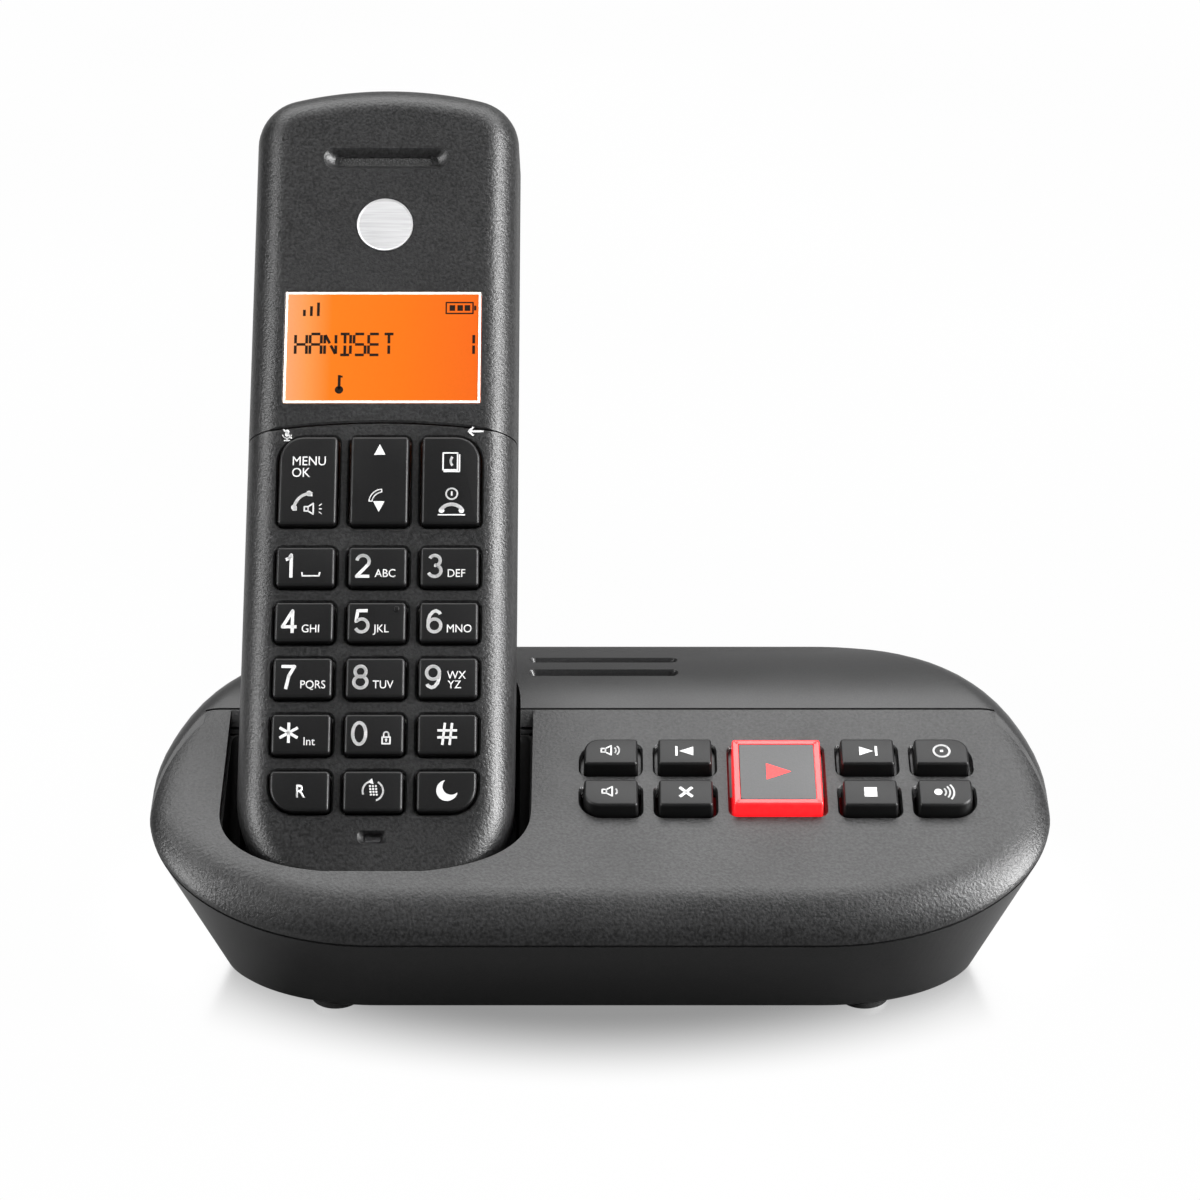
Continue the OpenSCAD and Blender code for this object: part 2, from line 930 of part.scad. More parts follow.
module key_menu() { rocker_key(-1); }
module key_navigate() { rocker_key(0); }
module key_end() { rocker_key(1); }
module key_1() { dial_key(-1, 4); }
module key_2() { dial_key(0, 4); }
module key_3() { dial_key(1, 4); }
module key_4() { dial_key(-1, 3); }
module key_5() { dial_key(0, 3); }
module key_6() { dial_key(1, 3); }
module key_7() { dial_key(-1, 2); }
module key_8() { dial_key(0, 2); }
module key_9() { dial_key(1, 2); }
module key_star() { dial_key(-1, 1); }
module key_0() { dial_key(0, 1); }
module key_hash() { dial_key(1, 1); }
module key_recall() { dial_key(-1, 0); }
module key_redial() { dial_key(0, 0); }
module key_night() { dial_key(1, 0); }

base_top_cover();
base_housing();
base_bottom_plate();
base_feet();
base_screws();
cradle_cup();
charge_contact(-1);  // charge_contact_left
charge_contact(1);  // charge_contact_right
main_pcb();
button_pcb();
button_mat();
play_led();
base_loudspeaker();
speaker_gasket();
line_jack();
power_jack();
volume_up_button();
volume_down_button();
previous_button();
delete_button();
play_button();
play_cap();
next_button();
stop_button();
power_button();
page_button();
handset_upper_cover();
handset_keypad_cover();
handset_rear_cover();
battery_door();
display_window();
display_module();
earpiece_mesh();
earpiece_receiver();
badge_disc();
microphone();
handset_pcb();
keypad_mat();
battery_cells();
battery_contacts();
handset_contacts();
handset_screws();
key_menu();
key_navigate();
key_end();
key_1();
key_2();
key_3();
key_4();
key_5();
key_6();
key_7();
key_8();
key_9();
key_star();
key_0();
key_hash();
key_recall();
key_redial();
key_night();
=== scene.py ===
"""Looks of the cordless telephone and its base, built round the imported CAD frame."""

import json
import math

import bmesh
import bpy
from mathutils import Matrix, Vector

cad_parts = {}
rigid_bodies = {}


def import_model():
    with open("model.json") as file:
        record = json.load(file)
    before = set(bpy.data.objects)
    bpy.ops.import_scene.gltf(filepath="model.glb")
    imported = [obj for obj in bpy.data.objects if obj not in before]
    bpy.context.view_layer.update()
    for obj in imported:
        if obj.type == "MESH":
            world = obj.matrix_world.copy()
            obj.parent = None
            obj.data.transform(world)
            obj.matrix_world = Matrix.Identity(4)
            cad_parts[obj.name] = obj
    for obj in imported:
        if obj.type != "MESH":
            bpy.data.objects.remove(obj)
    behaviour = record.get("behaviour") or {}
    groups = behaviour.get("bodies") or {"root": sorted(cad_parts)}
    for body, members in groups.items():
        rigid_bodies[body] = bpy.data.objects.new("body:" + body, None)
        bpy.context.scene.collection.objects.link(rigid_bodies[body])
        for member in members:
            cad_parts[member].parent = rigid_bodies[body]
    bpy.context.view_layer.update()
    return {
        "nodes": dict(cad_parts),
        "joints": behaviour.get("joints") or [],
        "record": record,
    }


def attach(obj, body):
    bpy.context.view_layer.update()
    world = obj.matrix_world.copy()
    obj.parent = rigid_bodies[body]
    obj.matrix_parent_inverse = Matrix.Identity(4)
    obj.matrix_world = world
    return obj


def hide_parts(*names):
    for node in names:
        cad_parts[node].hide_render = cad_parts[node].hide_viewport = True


for left_over in list(bpy.data.objects):
    bpy.data.objects.remove(left_over)
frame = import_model()
JOINTS = {j["name"]: j for j in frame["joints"]}
MM = 0.001
METRES = Matrix.Scale(MM, 4)

# ---- Sizes of the part, in millimetres, as the CAD has them ----

BASE_W, BASE_FRONT, BASE_REAR = 156.6, 45.5, 46.2
NOSE_Z, SEAM_SLOPE, BASE_WALL, FOOT_H = 19.5, math.radians(22), 2.2, 1.5
FRONT_CORNER, REAR_CORNER = (40.1, 26.6), (72.9, 60.2)
DRAFT, BOTTOM_EDGE, TOP_EDGE = math.radians(24.6), 1.0, 7.2
SIDE_RIM_Z, REAR_RIM_Z, CROWN_R, SEAM_Y = 32.0, 15.3, 38.7, 2.2
SEAM_LOOK = 0.44
HANDSET_L, HANDSET_W, HANDSET_T = 155.5, 48.0, 27.0
HANDSET_ORIGIN = (-38.9, -39.4, 21.9)
HANDSET_WALL, PARTING, FACE_ROUND, BACK_ROUND = 1.8, 11.0, 6.0, 9.0
COVER_SEAM, COVER_SEAM_R = 88.8, 138.0
KEY_W, KEY_H, ROCKER_H, KEY_PROUD, KEY_GAP = 10.2, 7.1, 16.3, 1.1, 0.4
KEY_PITCH, ROW_PITCH, BOTTOM_ROW, ROCKER_V = 12.6, 10.08, 21.35, 77.6
DISPLAY_V, DISPLAY_SIZE = 103.1, (35.1, 21.2)
EARPIECE_V, BADGE_V, BADGE_R, MIC_V = 139.9, 126.8, 5.05, 13.5
BUTTON_W, BUTTON_H, PLAY_W, BUTTON_PROUD = 9.8, 6.6, 15.8, 2.3
PLAY_AT, BUTTON_ROW = (30.9, -17.5), 4.9
SLOT_ROWS, SLOT_X = (12.9, 18.3), 0.6
CHARGE_X = 6
SCREW_POINTS = ((-14, 11), (14, 11), (-16, 136), (16, 136))
DOOR_SIZE, DOOR_V, DOOR_GAP = (36, 54), 86, 0.25
RIM_HALF, RIM_FULLNESS = (27.0, 7.4), 1 / 1.2
SEAM_WALL_HALF, SEAM_WALL_RUN, SEAM_WALL_DROP = 70.5, 8, 2.5
BIG_ROUND, BUTTON_ROUND = 4.5, 3.4
BAY = ((-1, 33, 4.2), (30, 60, 14.2))
LINE_JACK_X, POWER_JACK_X, JACK_Z = 7, 22, 9.2

PANEL_SLOPE = math.atan2(JOINTS["press_play"]["axis"][1], -JOINTS["press_play"]["axis"][2])
LEAN = math.atan2(JOINTS["handset_lift_out"]["axis"][1], JOINTS["handset_lift_out"]["axis"][2])
SEAM_Z = NOSE_Z + (SEAM_Y + BASE_FRONT) * math.tan(SEAM_SLOPE)
CROWN_Y = SEAM_Y + CROWN_R * math.sin(PANEL_SLOPE)
CROWN_Z = SEAM_Z - CROWN_R * math.cos(PANEL_SLOPE)

# Local frames: x across, y up the face, z out of it
ON_FACE = METRES @ Matrix.Translation(HANDSET_ORIGIN) @ Matrix.Rotation(math.pi / 2 - LEAN, 4, "X")
ON_PANEL = METRES @ Matrix.Translation((0, SEAM_Y, SEAM_Z)) @ Matrix.Rotation(PANEL_SLOPE, 4, "X")
ALONG_X = Matrix(((0, 0, 1, 0), (1, 0, 0, 0), (0, 1, 0, 0), (0, 0, 0, 1)))


# ---- Materials ----

def new_material(name):
    material = bpy.data.materials.new(name)
    material.use_nodes = True
    nodes, links = material.node_tree.nodes, material.node_tree.links
    return material, nodes, links, nodes["Principled BSDF"]


def noise(nodes, links, source, scale, detail=3.0, rough=0.6, stretch=(1, 1, 1)):
    mapping = nodes.new("ShaderNodeMapping")
    mapping.inputs["Scale"].default_value = stretch
    texture = nodes.new("ShaderNodeTexNoise")
    texture.inputs["Scale"].default_value = scale
    texture.inputs["Detail"].default_value = detail
    texture.inputs["Roughness"].default_value = rough
    links.new(source.outputs["Object"], mapping.inputs["Vector"])
    links.new(mapping.outputs["Vector"], texture.inputs["Vector"])
    return texture.outputs["Fac"]


def ramp(nodes, links, value, stops):
    node = nodes.new("ShaderNodeValToRGB")
    elements = node.color_ramp.elements
    while len(elements) < len(stops):
        elements.new(0.5)
    for element, (position, colour) in zip(elements, stops):
        element.position = position
        element.color = (*colour, 1)
    links.new(value, node.inputs["Fac"])
    return node.outputs["Color"]


def spread(nodes, links, value, low, high):
    node = nodes.new("ShaderNodeMapRange")
    node.inputs["From Min"].default_value = 0.3
    node.inputs["From Max"].default_value = 0.7
    node.inputs["To Min"].default_value = low
    node.inputs["To Max"].default_value = high
    links.new(value, node.inputs["Value"])
    return node.outputs["Result"]


def finish_of(name, dark, light, rough, grain, bump, depth=0.03, metal=0.0, coat=0.0, specular=0.5,
              stretch=(1, 1, 1), detail=3.0):
    """A moulded or worked surface: grain in its colour and relief, and a slow drift in its gloss."""
    material, nodes, links, shader = new_material(name)
    source = nodes.new("ShaderNodeTexCoord")
    fine = noise(nodes, links, source, grain, detail, 0.55, stretch)
    drift = noise(nodes, links, source, 55, 2.0, 0.5)
    links.new(ramp(nodes, links, fine, ((0.35, dark), (0.66, light))), shader.inputs["Base Color"])
    links.new(spread(nodes, links, drift, rough - 0.035, rough + 0.035), shader.inputs["Roughness"])
    relief = nodes.new("ShaderNodeBump")
    relief.inputs["Strength"].default_value = bump
    relief.inputs["Distance"].default_value = depth * MM
    links.new(fine, relief.inputs["Height"])
    links.new(relief.outputs["Normal"], shader.inputs["Normal"])
    shader.inputs["Metallic"].default_value = metal
    shader.inputs["Coat Weight"].default_value = coat
    shader.inputs["Specular IOR Level"].default_value = specular
    return material, nodes, links, shader


def glow(entry, colour, strength):
    entry[3].inputs["Emission Color"].default_value = (*colour, 1)
    entry[3].inputs["Emission Strength"].default_value = strength
    return entry[0]


def display_glow_and_glare():
    """Amber back light that reddens towards the right, with a painted glare that pales its left edge."""
    material, nodes, links, shader = new_material("amber_display")
    source = nodes.new("ShaderNodeTexCoord")
    split = nodes.new("ShaderNodeSeparateXYZ")
    links.new(source.outputs["Object"], split.inputs["Vector"])
    across = nodes.new("ShaderNodeMapRange")
    half = DISPLAY_SIZE[0] / 2
    across.inputs["From Min"].default_value = (HANDSET_ORIGIN[0] - half) * MM
    across.inputs["From Max"].default_value = (HANDSET_ORIGIN[0] + half) * MM
    links.new(split.outputs["X"], across.inputs["Value"])
    # painted glare: the left end of this ramp is paled as if light were reflected on the glass there; the
    # rest is the amber back light
    colour = ramp(nodes, links, across.outputs["Result"], (
        (0.0, (0.86, 0.4, 0.2)), (0.12, (0.88, 0.32, 0.09)), (0.24, (0.87, 0.19, 0.008)),
        (0.6, (0.85, 0.155, 0.004)), (1.0, (0.78, 0.1, 0.006))))
    dots = noise(nodes, links, source, 2400, 1.0, 0.5)
    mottled = nodes.new("ShaderNodeMix")
    mottled.data_type = "RGBA"
    mottled.blend_type = "MULTIPLY"
    mottled.inputs["Factor"].default_value = 0.12
    links.new(colour, mottled.inputs[6])
    links.new(ramp(nodes, links, dots, ((0.3, (0.75, 0.75, 0.75)), (0.6, (1, 1, 1)))), mottled.inputs[7])
    links.new(mottled.outputs[2], shader.inputs["Emission Color"])
    shader.inputs["Base Color"].default_value = (0.12, 0.03, 0.005, 1)
    shader.inputs["Emission Strength"].default_value = 0.9
    shader.inputs["Roughness"].default_value = 0.18
    shader.inputs["Specular IOR Level"].default_value = 0.15
    return material


def woven(name, dark, light, pitch):
    material, nodes, links, shader = new_material(name)
    source = nodes.new("ShaderNodeTexCoord")
    threads = nodes.new("ShaderNodeTexVoronoi")
    threads.inputs["Scale"].default_value = 1 / (pitch * MM)
    links.new(source.outputs["Object"], threads.inputs["Vector"])
    links.new(ramp(nodes, links, threads.outputs["Distance"], ((0.1, light), (0.6, dark))),
              shader.inputs["Base Color"])
    relief = nodes.new("ShaderNodeBump")
    relief.inputs["Strength"].default_value = 0.8
    relief.inputs["Distance"].default_value = 0.1 * MM
    links.new(threads.outputs["Distance"], relief.inputs["Height"])
    links.new(relief.outputs["Normal"], shader.inputs["Normal"])
    shader.inputs["Roughness"].default_value = 0.75
    return material


FINISHES = {
    "shell_black": finish_of("spark_charcoal", (0.002, 0.002, 0.0021), (0.017, 0.017, 0.0174), 0.38, 1900,
                             0.9, 0.1)[0],
    "housing_satin": finish_of("satin_housing", (0.006, 0.006, 0.0062), (0.016, 0.016, 0.0163), 0.36, 3600,
                               0.3, 0.05)[0],
    "cup_black": finish_of("cup_black", (0.002, 0.002, 0.002), (0.005, 0.005, 0.005), 0.75, 2600, 0.3)[0],
    "key_black": finish_of("key_black", (0.003, 0.003, 0.0031), (0.006, 0.006, 0.0062), 0.38, 5200, 0.12,
                           0.02, specular=0.3)[0],
    "cap_grey": finish_of("cap_grey", (0.05, 0.05, 0.051), (0.062, 0.062, 0.063), 0.45, 4200, 0.12, 0.02)[0],
    "light_guide_red": glow(
        finish_of("red_light_guide", (0.62, 0.012, 0.014), (0.75, 0.02, 0.02), 0.22, 900, 0.1, 0.02,
                  coat=0.4),
        (0.9, 0.012, 0.018), 0.9),
    "display_amber": display_glow_and_glare(),
    "badge_silver": finish_of("badge_silver", (0.34, 0.34, 0.345), (0.42, 0.42, 0.425), 0.45, 500, 0.1, 0.02,
                              metal=0.25, stretch=(0.15, 6, 6))[0],
    "mesh_black": woven("earpiece_mesh_black", (0.004, 0.004, 0.004), (0.03, 0.03, 0.03), 0.35),
    "rubber_black": finish_of("rubber_black", (0.012, 0.012, 0.012), (0.02, 0.02, 0.02), 0.7, 2200, 0.35)[0],
    "jack_black": finish_of("jack_black", (0.015, 0.015, 0.016), (0.025, 0.025, 0.026), 0.45, 2600, 0.2)[0],
    "contact_metal": finish_of("plated_contact", (0.72, 0.7, 0.64), (0.82, 0.8, 0.74), 0.16, 700, 0.1, 0.01,
                               metal=1.0)[0],
    "screw_steel": finish_of("zinc_steel", (0.45, 0.45, 0.46), (0.6, 0.6, 0.61), 0.32, 1200, 0.25, 0.02,
                             metal=1.0, stretch=(1, 1, 5))[0],
    "board_green": finish_of("board_lacquer", (0.008, 0.07, 0.03), (0.02, 0.15, 0.06), 0.28, 420, 0.3, 0.05,
                             coat=0.5)[0],
    "mat_grey": finish_of("silicone_grey", (0.3, 0.3, 0.3), (0.38, 0.38, 0.38), 0.6, 900, 0.2)[0],
    "capsule_metal": finish_of("pressed_steel", (0.3, 0.3, 0.31), (0.42, 0.42, 0.43), 0.38, 1300, 0.2,
                               metal=0.8)[0],
    "cell_wrap": finish_of("cell_sleeve", (0.02, 0.13, 0.06), (0.04, 0.2, 0.09), 0.25, 300, 0.1, coat=0.5)[0],
}
PRINT_WHITE = finish_of("print_white", (0.44, 0.44, 0.44), (0.54, 0.54, 0.54), 0.55, 3000, 0.15, 0.01)[0]
PRINT_RED = glow(finish_of("print_red", (0.7, 0.015, 0.015), (0.8, 0.03, 0.03), 0.4, 3000, 0.1, 0.01),
                 (0.85, 0.012, 0.015), 0.7)
SEGMENT_DARK = finish_of("segment_dark", (0.004, 0.002, 0.001), (0.01, 0.005, 0.002), 0.6, 3000, 0.1, 0.01,
                         specular=0.1)[0]
BORDER_PALE = finish_of("window_border", (0.75, 0.68, 0.6), (0.88, 0.82, 0.76), 0.3, 1500, 0.1, 0.01)[0]

for entry in frame["record"]["subparts"]:
    node_mesh = frame["nodes"][entry["node"]].data
    node_mesh.materials.clear()
    node_mesh.materials.append(FINISHES[entry["material_slot"]])


# ---- Modelling tools ----

def only(*objects):
    for other in bpy.context.view_layer.objects:
        other.select_set(False)
    for chosen in objects:
        chosen.select_set(True)
    bpy.context.view_layer.objects.active = objects[0]


def closed_mesh(name, points, faces, place=METRES):
    """A mesh from points in millimetres, merged, facing outwards."""
    mesh = bpy.data.meshes.new(name)
    mesh.from_pydata([place @ Vector(p) for p in points], [], faces)
    shape = bmesh.new()
    shape.from_mesh(mesh)
    bmesh.ops.remove_doubles(shape, verts=shape.verts, dist=2e-6)
    bmesh.ops.dissolve_degenerate(shape, edges=shape.edges, dist=1e-7)
    bmesh.ops.recalc_face_normals(shape, faces=shape.faces)
    shape.to_mesh(mesh)
    shape.free()
    made = bpy.data.objects.new(name, mesh)
    bpy.context.scene.collection.objects.link(made)
    return made


def arc(centre, radius, start, end, steps=8):
    angles = [math.radians(start + (end - start) * i / steps) for i in range(steps + 1)]
    return [(centre[0] + radius * math.cos(a), centre[1] + radius * math.sin(a)) for a in angles]


def rounded(width, height, radii, grow=0.0, at=(0, 0), steps=6):
    """Outline with its own radius at each corner: right top, left top, left bottom, right bottom."""
    x, y = width / 2 + grow, height / 2 + grow
    r = [max(radius + grow, 0.05) for radius in radii]
    outline = (arc((x - r[0], y - r[0]), r[0], 0, 90, steps) + arc((r[1] - x, y - r[1]), r[1], 90, 180, steps)
               + arc((r[2] - x, r[2] - y), r[2], 180, 270, steps)
               + arc((x - r[3], r[3] - y), r[3], 270, 360, steps))
    return [(px + at[0], py + at[1]) for px, py in outline]


def prism(name, sections, place):
    """A closed solid through sections, each a height and an outline with the same number of points."""
    count = len(sections[0][1])
    points = [(x, y, z) for z, outline in sections for x, y in outline]
    faces = [tuple(reversed(range(count))), tuple(range(len(points) - count, len(points)))]
    for level in range(len(sections) - 1):
        for i in range(count):
            a, b = level * count + i, level * count + (i + 1) % count
            faces.append((a, b, b + count, a + count))
    return closed_mesh(name, points, faces, place)


def box_between(name, low, high):
    (x0, y0, z0), (x1, y1, z1) = low, high
    outline = [(x0, y0), (x1, y0), (x1, y1), (x0, y1)]
    return prism(name, [(z0, outline), (z1, outline)], METRES)


def joined(name, objects):
    only(*objects)
    if len(objects) > 1:
        bpy.ops.object.join()
    objects[0].name = name
    return objects[0]


def cut(target, tool, operation="DIFFERENCE"):
    modifier = target.modifiers.new("cut", "BOOLEAN")
    modifier.operation = operation
    modifier.solver = "EXACT"
    modifier.object = tool
    only(target)
    bpy.ops.object.modifier_apply(modifier=modifier.name)
    bpy.data.objects.remove(tool)
    return target


def smooth(target, degrees=32):
    only(target)
    bpy.ops.object.shade_smooth_by_angle(angle=math.radians(degrees))
    return target


def dress(target, body, slot, material=None, replaced=()):
    """Gives a finished piece its material and body, and hides the CAD nodes it stands for."""
    target.data.materials.clear()
    target.data.materials.append(material or FINISHES[slot])
    for face in target.data.polygons:
        face.material_index = 0
    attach(target, body)
    if replaced:
        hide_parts(*replaced)
    return target


def mirrored_body(name, half_rings, place=METRES, columns=60):
    """A closed body through rings that are mirrored about x = 0; a grid of rows caps the last ring."""
    side = columns // 2
    points, faces = [], []
    for ring in half_rings:
        (x0, *low), (x1, *high) = ring[0], ring[-1]
        half = ([(x0 * k / side, *low) for k in range(side)] + list(ring)
                + [(x1 * (side - k) / side, *high) for k in range(1, side + 1)])
        points += half + [(-x, y, z) for x, y, z in reversed(half)]
    around = len(points) // len(half_rings)
    for level in range(len(half_rings) - 1):
        for i in range(around):
            a, b = level * around + i, level * around + (i + 1) % around
            faces.append((a, b, b + around, a + around))
    faces.append(tuple(reversed(range(around))))
    first = len(points)
    for x, y, z in half_rings[-1]:
        points += [(x - 2 * x * j / columns, y, z) for j in range(columns + 1)]
    for i in range(len(half_rings[-1]) - 1):
        for j in range(columns):
            a = first + i * (columns + 1) + j
            faces.append((a, a + 1, a + columns + 2, a + columns + 1))
    return closed_mesh(name, points, faces, place)


# ---- Base shells ----

CORNER_STEPS = 30
RIM_BLEND = 5.0


def rim_height(y):
    fall = (SIDE_RIM_Z - REAR_RIM_Z) * (y / BASE_REAR) ** 2 if y > 0 else 0
    rise = NOSE_Z + (y + BASE_FRONT) * math.tan(SEAM_SLOPE)
    blend = max(RIM_BLEND - abs(rise - SIDE_RIM_Z), 0) ** 2 / (4 * RIM_BLEND)
    return min(rise, SIDE_RIM_Z) - blend - fall


def top_height(y):
    if y < SEAM_Y:
        return SEAM_Z + (y - SEAM_Y) * math.tan(PANEL_SLOPE)
    return CROWN_Z + math.sqrt(max(CROWN_R ** 2 - (y - CROWN_Y) ** 2, 0))


def plan_points(inset):
    """Half the base's outline, from the front middle round to the rear middle."""
    half = []
    for i in range(CORNER_STEPS + 1):
        a = math.radians(90 * (CORNER_STEPS - i) / CORNER_STEPS)
        half.append((BASE_W / 2 - FRONT_CORNER[0] + (FRONT_CORNER[0] - inset) * math.cos(a),
                     -BASE_FRONT + FRONT_CORNER[1] - (FRONT_CORNER[1] - inset) * math.sin(a)))
    for i in range(CORNER_STEPS + 1):
        a = math.radians(90 * i / CORNER_STEPS)
        half.append((BASE_W / 2 - REAR_CORNER[0] + (REAR_CORNER[0] - inset) * math.cos(a),
                     BASE_REAR - REAR_CORNER[1] + (REAR_CORNER[1] - inset) * math.sin(a)))
    return half


RIMS = [rim_height(y) for _, y in plan_points(0)]


def low_ring(z, inset):
    ring = []
    for i, rim in enumerate(RIMS):
        x, y = plan_points((rim - z) * math.tan(DRAFT) + inset)[i]
        ring.append((x, y, z))
    return ring


def edge_ring(degrees, inset):
    a = math.radians(degrees)
    ring = []
    for (x, y), rim in zip(plan_points(TOP_EDGE * (1 - math.cos(a)) + inset), RIMS):
        ring.append((x, y, rim + (top_height(y) - inset - rim) * math.sin(a)))
    return ring


def base_solid(name, inset=0.0, floor=FOOT_H):
    rings = [low_ring(floor, inset + BOTTOM_EDGE), low_ring(floor + 0.35, inset + 0.45),
             low_ring(floor + 1.2, inset)]
    rings += [edge_ring(a, inset) for a in range(0, 91, 9)]
    return mirrored_body(name, rings)


def above_seam(lift):
    place = METRES @ Matrix.Translation((0, -BASE_FRONT, NOSE_Z)) @ Matrix.Rotation(SEAM_SLOPE, 4, "X")
    square = [(-100, -40), (100, -40), (100, 160), (-100, 160)]
    return prism("above_seam", [(lift, square), (80, square)], place)


def rim_curve():
    """The fuller-than-elliptical front rim of the cradle, across and through the handset's thickness."""
    curve = []
    for i in range(25):
        a = math.radians(90 * i / 24)
        curve.append((RIM_HALF[0] * math.sin(a) ** RIM_FULLNESS,
                      RIM_HALF[1] * (1 - math.cos(a) ** RIM_FULLNESS) - 1))
    return curve


def seam_cutter(lift, edge):
    """Everything above the seam; at the top it ends in an upright wall across the base."""
    upper = above_seam(lift)
    cut(upper, box_between("behind", (-100, SEAM_Y - SEAM_LOOK / 2, 0), (100, 160, 160)))
    block = box_between("front_of_wall",
                        (-SEAM_WALL_HALF, SEAM_Y - SEAM_WALL_RUN, SEAM_Z - SEAM_WALL_DROP + lift),
                        (SEAM_WALL_HALF, SEAM_Y + edge, 60))
    return cut(upper, block, "UNION")


def cradle_space():
    """Room for the docked handset: three crossing prisms, as wide as the cup at the panel."""
    half_w, corner, gap = RIM_HALF[0], 14, 0.8
    front = (arc((half_w - corner, corner - gap), corner, 270, 360, 12) + [(half_w, 150), (-half_w, 150)]
             + arc((corner - half_w, corner - gap), corner, 180, 270, 12))
    space = prism("cradle_space", [(-HANDSET_T - 4, front), (4, front)], ON_FACE)
    back_w, back_y = HANDSET_W / 2 + 0.7, HANDSET_T + gap
    right = (rim_curve() + [(RIM_HALF[0], 18), (back_w, 18)]
             + arc((back_w - 9, back_y - 9), 9, 0, 90, 12))
    section = right + [(-x, y) for x, y in reversed(right)]
    along = ON_FACE @ Matrix.Rotation(-math.pi / 2, 4, "X")
    cut(space, prism("section", [(-5, section), (145, section)], along), "INTERSECT")
    side = (arc((4, 4), 4 + gap, 180, 270) + arc((11, 9), 9 + gap, 270, 350, 12) + [(HANDSET_T + gap, 58)]
            + [(HANDSET_T + gap, 200), (-gap, 200)])
    across = ON_FACE @ Matrix.Rotation(-math.pi / 2, 4, "X") @ ALONG_X
    cut(space, prism("side", [(-40, side), (40, side)], across), "INTERSECT")
    return space


def bay_box(grow, drop, top):
    return box_between("bay", (BAY[0][0] - grow, BAY[0][1] - grow, BAY[0][2] - drop),
                       (BAY[1][0] + grow, BAY[1][1], BAY[1][2] + top))


def well(centre, size, radii, place, depth, flare=0.35):
    """Hole round a key or button, opened at its mouth by a small chamfer."""
    sections = [(-depth, rounded(*size, radii, KEY_GAP, centre)),
                (-flare, rounded(*size, radii, KEY_GAP, centre)),
                (flare, rounded(*size, radii, KEY_GAP + 2 * flare, centre))]
    return prism("well", sections, place)


def corners(large, radius, small=1.0):
    return [radius if i == large else small for i in range(4)]


SMALL_BUTTONS = {
    "volume_up": (-29, 1, 1), "volume_down": (-29, -1, 2), "previous": (-16, 1, 4), "delete": (-16, -1, 4),
    "next": (16, 1, 4), "stop": (16, -1, 4), "power": (29, 1, 0), "page": (29, -1, 3),
}


def button_centre(name):
    column, row, _ = SMALL_BUTTONS[name]
    return PLAY_AT[0] + column, PLAY_AT[1] + row * BUTTON_ROW


top_cover = base_solid("base_top_shell")
cut(top_cover, base_solid("inside", BASE_WALL, FOOT_H - 3))
cut(top_cover, seam_cutter(SEAM_LOOK / 2, -SEAM_LOOK / 2), "INTERSECT")
cut(top_cover, cradle_space())
wells = [well(button_centre(n), (BUTTON_W, BUTTON_H), corners(b[2], BUTTON_ROUND), ON_PANEL, 6)
         for n, b in SMALL_BUTTONS.items()]
wells.append(well(PLAY_AT, (PLAY_W, PLAY_W), [0.8] * 4, ON_PANEL, 6))
cut(top_cover, joined("wells", wells))
dress(smooth(top_cover), "base", "shell_black", replaced=["base_top_cover"])

housing = base_solid("base_body_shell")
hollow = base_solid("inside", BASE_WALL, FOOT_H - 3)
cut(hollow, bay_box(1.6, 0.3, 1.6))
cut(housing, hollow)
cut(housing, seam_cutter(-SEAM_LOOK / 2, SEAM_LOOK / 2))
cut(housing, cradle_space())
cut(housing, bay_box(0, 5, 0))
jack_wall = BAY[0][1]
cut(housing, box_between("line_hole", (LINE_JACK_X - 6.2, jack_wall - 5, JACK_Z - 5.1),
                         (LINE_JACK_X + 6.2, jack_wall + 5, JACK_Z + 5.1)))
upright = (METRES @ Matrix.Translation((POWER_JACK_X, jack_wall, JACK_Z))
           @ Matrix.Rotation(math.pi / 2, 4, "X"))
socket_ring = arc((0, 0), 4.2, 0, 345, 23)
cut(housing, prism("power_hole", [(-5, socket_ring), (5, socket_ring)], upright))
for slot_y in SLOT_ROWS:
    slope = -math.asin((slot_y - CROWN_Y) / CROWN_R)
    on_crown = (METRES @ Matrix.Translation((SLOT_X, slot_y, top_height(slot_y)))
                @ Matrix.Rotation(slope, 4, "X"))
    dish = [(-1.1, rounded(25.6, 1.3, [0.65] * 4)), (-0.5, rounded(26.2, 1.8, [0.9] * 4)),
            (0.5, rounded(28.4, 3.2, [1.6] * 4))]
    cut(housing, prism("dish", dish, on_crown))
    slot_ring = rounded(18, 0.9, [0.3] * 4, 0, (0, -0.3))
    through = [(-6, slot_ring), (0, slot_ring)]
    cut(housing, prism("through", through, on_crown))
dress(smooth(housing), "base", "housing_satin", replaced=["base_housing"])


# ---- Handset covers ----

def handset_outline(inset):
    """Half the front outline of the handset, from the lower end to the upper end."""
    half_w, head, foot, top_r, foot_r = HANDSET_W / 2, 9, 22, 70, 80
    top_a = math.degrees(math.acos((half_w - head) / (top_r - head)))
    foot_a = math.degrees(math.acos((half_w - foot) / (foot_r - foot)))
    top_c = (half_w - head, HANDSET_L - top_r + (top_r - head) * math.sin(math.radians(top_a)))
    foot_c = (half_w - foot, foot_r - (foot_r - foot) * math.sin(math.radians(foot_a)))
    lower = (arc((0, foot_r), foot_r - inset, 270, 360 - foot_a, 6)
             + arc(foot_c, foot - inset, 360 - foot_a, 360, 26)[1:])
    upper = (arc(top_c, head - inset, 0, top_a, 12)
             + arc((0, HANDSET_L - top_r), top_r - inset, top_a, 90, 16)[1:])
    rows = 44
    (x, y0), y1 = lower[-1], upper[0][1]
    return lower + [(x, y0 + (y1 - y0) * k / rows) for k in range(1, rows)] + upper


